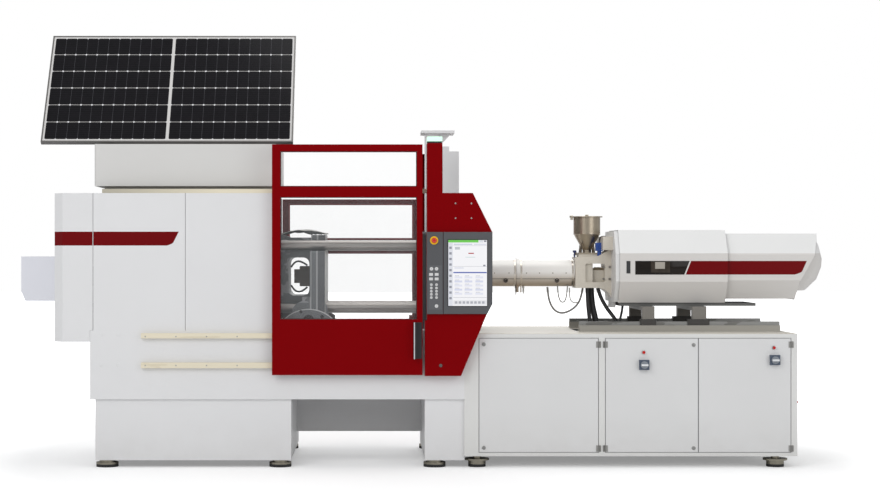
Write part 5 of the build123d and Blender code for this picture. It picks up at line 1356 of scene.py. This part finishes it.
DOOR_SPANS = ((368, 1229), (1278, 1948), (1948, 2615))
DOOR_HEIGHTS = (105, 934)
HINGE_LEAVES = tuple((x, z) for x in (1218, 1289, 2604) for z in (137, 885))
ISOLATOR_BASES = ((1555, 740), (2495, 775))
LATCHES = (("door_left", ((403, 887), (403, 143))), ("door_middle", ((1913, 882), (1913, 140))))
LAMPS = (("door_middle", (1554, 829)), ("door_right", (2492, 863)))
# Where the isolators' finish changes, in metres
ISOLATOR_GRIP_FRONT = -0.7455


def door_marks(finish):
    """Shaded joints round the doors, and their isolator bases, hinge leaves, latches and red lamps."""
    marks = []
    low, high = DOOR_HEIGHTS
    for left, right in DOOR_SPANS:
        outer = patch(finish, (left - 3, right + 3), (low, high))
        joint = outer - patch(finish, (left + 4, right - 4), (low + 7, high - 7))
        marks.append((joint.clipped() * 0.55, tint(112, 112, 114), 0.6))
    for x, z in ISOLATOR_BASES:
        marks.append((patch(finish, around(x, 37), around(z, 37), -703.5), tint(82, 92, 108), 0.4))
    for x, z in HINGE_LEAVES:
        marks.append((patch(finish, around(x, 20), around(z, 24), -703.2), tint(150, 149, 146), 0.35))
    for _, places in LATCHES:
        for x, z in places:
            marks.append((disc(finish, x, z, 14.5, -703.0), tint(158, 157, 154), 0.35))
    for _, (x, z) in LAMPS:
        marks.append((disc(finish, x, z, 11.5, -702.5), tint(190, 30, 26), 0.25))
    return marks


class MACHINE_OT_doors(bpy.types.Operator):
    """Cabinet doors with their latches and lamps, isolators and the main switch"""

    bl_idname = "machine.doors"
    bl_label = "Doors and switches"

    def execute(self, context):
        door = powder_coat("door_coat", tint(220, 220, 220), marks=door_marks)
        isolator = moulded("isolator_grey", tint(132, 138, 146), 0.3, marks=self.grip)
        paint_node(door, "door_left", "door_middle", "door_right")
        paint_node(isolator, "isolator_left", "isolator_right")
        paint_node(moulded("switch_plastic", tint(196, 30, 30), 0.3), "side_switch")
        self.latches()
        self.hinges()
        self.lamp_rings()
        return {"FINISHED"}

    def grip(self, finish):
        """The grip across each isolator's knob is silver."""
        return [(finish.y.below(ISOLATOR_GRIP_FRONT), tint(226, 228, 230), 0.25)]

    def latches(self):
        """Slotted inserts of the quarter-turn latches."""
        bright = ground_steel("latch_steel", tint(158, 158, 156), 0.3)
        steps = ((-1, 13.5), (2.0, 13.5), (3.0, 12.0), (3.0, 7.5), (1.2, 7.0))
        for body, places in LATCHES:
            x, z = places[0]
            ring = turned((x, -704, z), (0, -1, 0), steps, 28)
            bar = block(around(x, 5.5), (-708.2, -704), around(z, 1.6), edge=0.4)
            latch = repeated(joined(ring, bar), places)
            fit(latch, f"{body}_latches", body, bright)

    def hinges(self):
        """Frame leaves and barrels of the door hinges."""
        low, high = 114.5, 159.5
        leaves = []
        for x, side in ((1230, 1), (1277, -1), (2616, 1)):
            across = sorted((x + side * 2, x + side * 17))
            leaf = block(across, (-704, -699), (low, high), corner=2, edge=0.5)
            barrel = turned((x, -706, low), (0, 0, 1), ((0, 4.0), (1, 5.0), (44, 5.0), (45, 4.0)), 20)
            leaves.append(spread(joined(leaf, barrel), ((0, 0, 748),)))
        steel = ground_steel("hinge_steel", tint(142, 141, 138), 0.35, along=2)
        fit(joined(*leaves), "door_hinge_leaves", "base", steel)

    def lamp_rings(self):
        """Chromed rings round the red lamps over the isolators."""
        steel = ground_steel("lamp_ring", tint(196, 196, 194), 0.2)
        steps = ((-1, 15), (3.5, 15), (4.5, 14), (4.5, 11.5), (2.0, 11.5))
        for body, (x, z) in LAMPS:
            ring = turned((x, -702, z), (0, -1, 0), steps, 32)
            fit(ring, f"{body}_lamp_ring", body, steel)


# Solar panel


SOLAR_TILT = math.radians(57.3)
SOLAR_LEFT = -2838.0
SOLAR_WIDTH = 1855.0
SOLAR_LENGTH = 1003.0
SOLAR_LOW_Y = -430.0
SOLAR_LOW_Z = 2362.0
SOLAR_THICKNESS = 22.0
CELL_COLUMNS = 11
CELL_ROWS = 6
CELL_WIRES = 9
CELL_MARGIN = 24.0
CELL_HALF_MIDDLE_GAP = 11.0


def gap_line(along, pitch):
    """How far a place is from the nearest line of a row of gaps, a pitch in metres apart."""
    return (0.5 - abs((along / pitch).fraction() - 0.5)) * pitch


class MACHINE_OT_solar(bpy.types.Operator):
    """Solar panel: half-cut cells under glass, aluminium frame and junction box"""

    bl_idname = "machine.solar"
    bl_label = "Solar panel"

    def execute(self, context):
        paint_node(self.cells(), "solar_laminate")
        paint_node(self.frame_metal(), "solar_frame")
        self.junction_box()
        return {"FINISHED"}

    def cells(self):
        """Six rows of half cells in two halves, pale gaps between them and bright corner diamonds."""
        finish = Finish("solar_cells", Specular_IOR_Level=0.16)
        lean_back = (finish.y - SOLAR_LOW_Y * MM) * math.cos(SOLAR_TILT)
        up = lean_back + (finish.z - SOLAR_LOW_Z * MM) * math.sin(SOLAR_TILT)
        pitch = (SOLAR_WIDTH / 2 - CELL_MARGIN - CELL_HALF_MIDDLE_GAP) / CELL_COLUMNS * MM
        row = (SOLAR_LENGTH - 2 * CELL_MARGIN) / CELL_ROWS * MM
        centre = (SOLAR_LEFT + SOLAR_WIDTH / 2) * MM
        across = abs(finish.x - centre) - CELL_HALF_MIDDLE_GAP * MM
        climb = up - CELL_MARGIN * MM
        column_gap = gap_line(across, pitch)
        row_gap = gap_line(climb, row)
        field = across.within(0.0, pitch * CELL_COLUMNS) * climb.within(0.0, row * CELL_ROWS)
        cell = finish.mix(finish.noise(55.0, 2.0), tint(9, 9, 12), tint(22, 20, 24))
        wires = (climb * (CELL_WIRES / row)).fraction().below(0.06)
        cell = finish.mix(wires * 0.2, cell, tint(84, 84, 92))
        cell = finish.mix(column_gap.below(0.0011) * 0.28, cell, tint(128, 128, 134))
        cell = finish.mix(row_gap.below(0.0024), cell, tint(172, 170, 168))
        diamond = (column_gap + row_gap).below(0.0085) * (1.0 - row_gap.below(0.0001))
        cell = finish.mix(diamond, cell, tint(226, 226, 228))
        colour = finish.mix(field, tint(206, 204, 202), cell)
        glossy = finish.noise(400.0) * 0.06 + 0.14
        return finish.close(colour, glossy)

    def frame_metal(self):
        """Anodised aluminium, drawn along its length."""
        finish = Finish("anodised_frame")
        lines = finish.noise(1.5, 1.0, (0.05, 1, 1))
        colour = finish.mix(lines, tint(112, 110, 108), tint(136, 134, 132))
        return finish.close(colour, lines * 0.1 + 0.34, lines, 0.01, Metallic=0.85)

    def junction_box(self):
        """Flat junction box in the middle of the panel's back."""
        box = block((-120, 120), (-45, 45), (-11, 11), corner=6, corner_axis=2, edge=2.0, corner_segments=4)
        along = SOLAR_LENGTH / 2
        box.rotation_mode = "QUATERNION"
        box.rotation_quaternion = Matrix.Rotation(SOLAR_TILT, 3, "X").to_quaternion()
        box.location = spot(
            SOLAR_LEFT + SOLAR_WIDTH / 2,
            SOLAR_LOW_Y + along * math.cos(SOLAR_TILT) + SOLAR_THICKNESS * math.sin(SOLAR_TILT),
            SOLAR_LOW_Z + along * math.sin(SOLAR_TILT) - SOLAR_THICKNESS * math.cos(SOLAR_TILT),
        )
        settle()
        plastic = moulded("junction_plastic", tint(30, 30, 32), 0.5)
        fit(box, "junction_box", "base", plastic)


# Add-on


class MACHINE_PT_sidebar(bpy.types.Panel):
    """Lists the machine's groups of pieces"""

    bl_idname = "MACHINE_PT_sidebar"
    bl_label = "Injection moulding machine"
    bl_space_type = "VIEW_3D"
    bl_region_type = "UI"
    bl_category = "Machine"

    def draw(self, context):
        for group, fields in ((colours(), MachineColours), (sizes(), FittingSizes)):
            box = self.layout.box()
            for field in fields.__annotations__:
                box.prop(group, field)
        for operator in OPERATORS:
            self.layout.operator(operator.bl_idname)


OPERATORS = (
    MACHINE_OT_studio,
    MACHINE_OT_hoses,
    MACHINE_OT_shell,
    MACHINE_OT_guards,
    MACHINE_OT_panel,
    MACHINE_OT_clamp,
    MACHINE_OT_injection,
    MACHINE_OT_doors,
    MACHINE_OT_solar,
)
CLASSES = (MachineColours, FittingSizes, *OPERATORS, MACHINE_PT_sidebar)


def register():
    """Adds the classes and the two groups of settings."""
    for each in CLASSES:
        bpy.utils.register_class(each)
    bpy.types.Scene.machine_colours = PointerProperty(type=MachineColours)
    bpy.types.Scene.fitting_sizes = PointerProperty(type=FittingSizes)


def unregister():
    """Takes them out again."""
    del bpy.types.Scene.fitting_sizes
    del bpy.types.Scene.machine_colours
    for each in reversed(CLASSES):
        bpy.utils.unregister_class(each)


def main():
    """Makes everything in order."""
    register()
    for operator in OPERATORS:
        group, name = operator.bl_idname.split(".")
        if "FINISHED" not in getattr(getattr(bpy.ops, group), name)():
            raise RuntimeError(f"{operator.bl_label} was not finished")


if __name__ == "__main__":
    main()
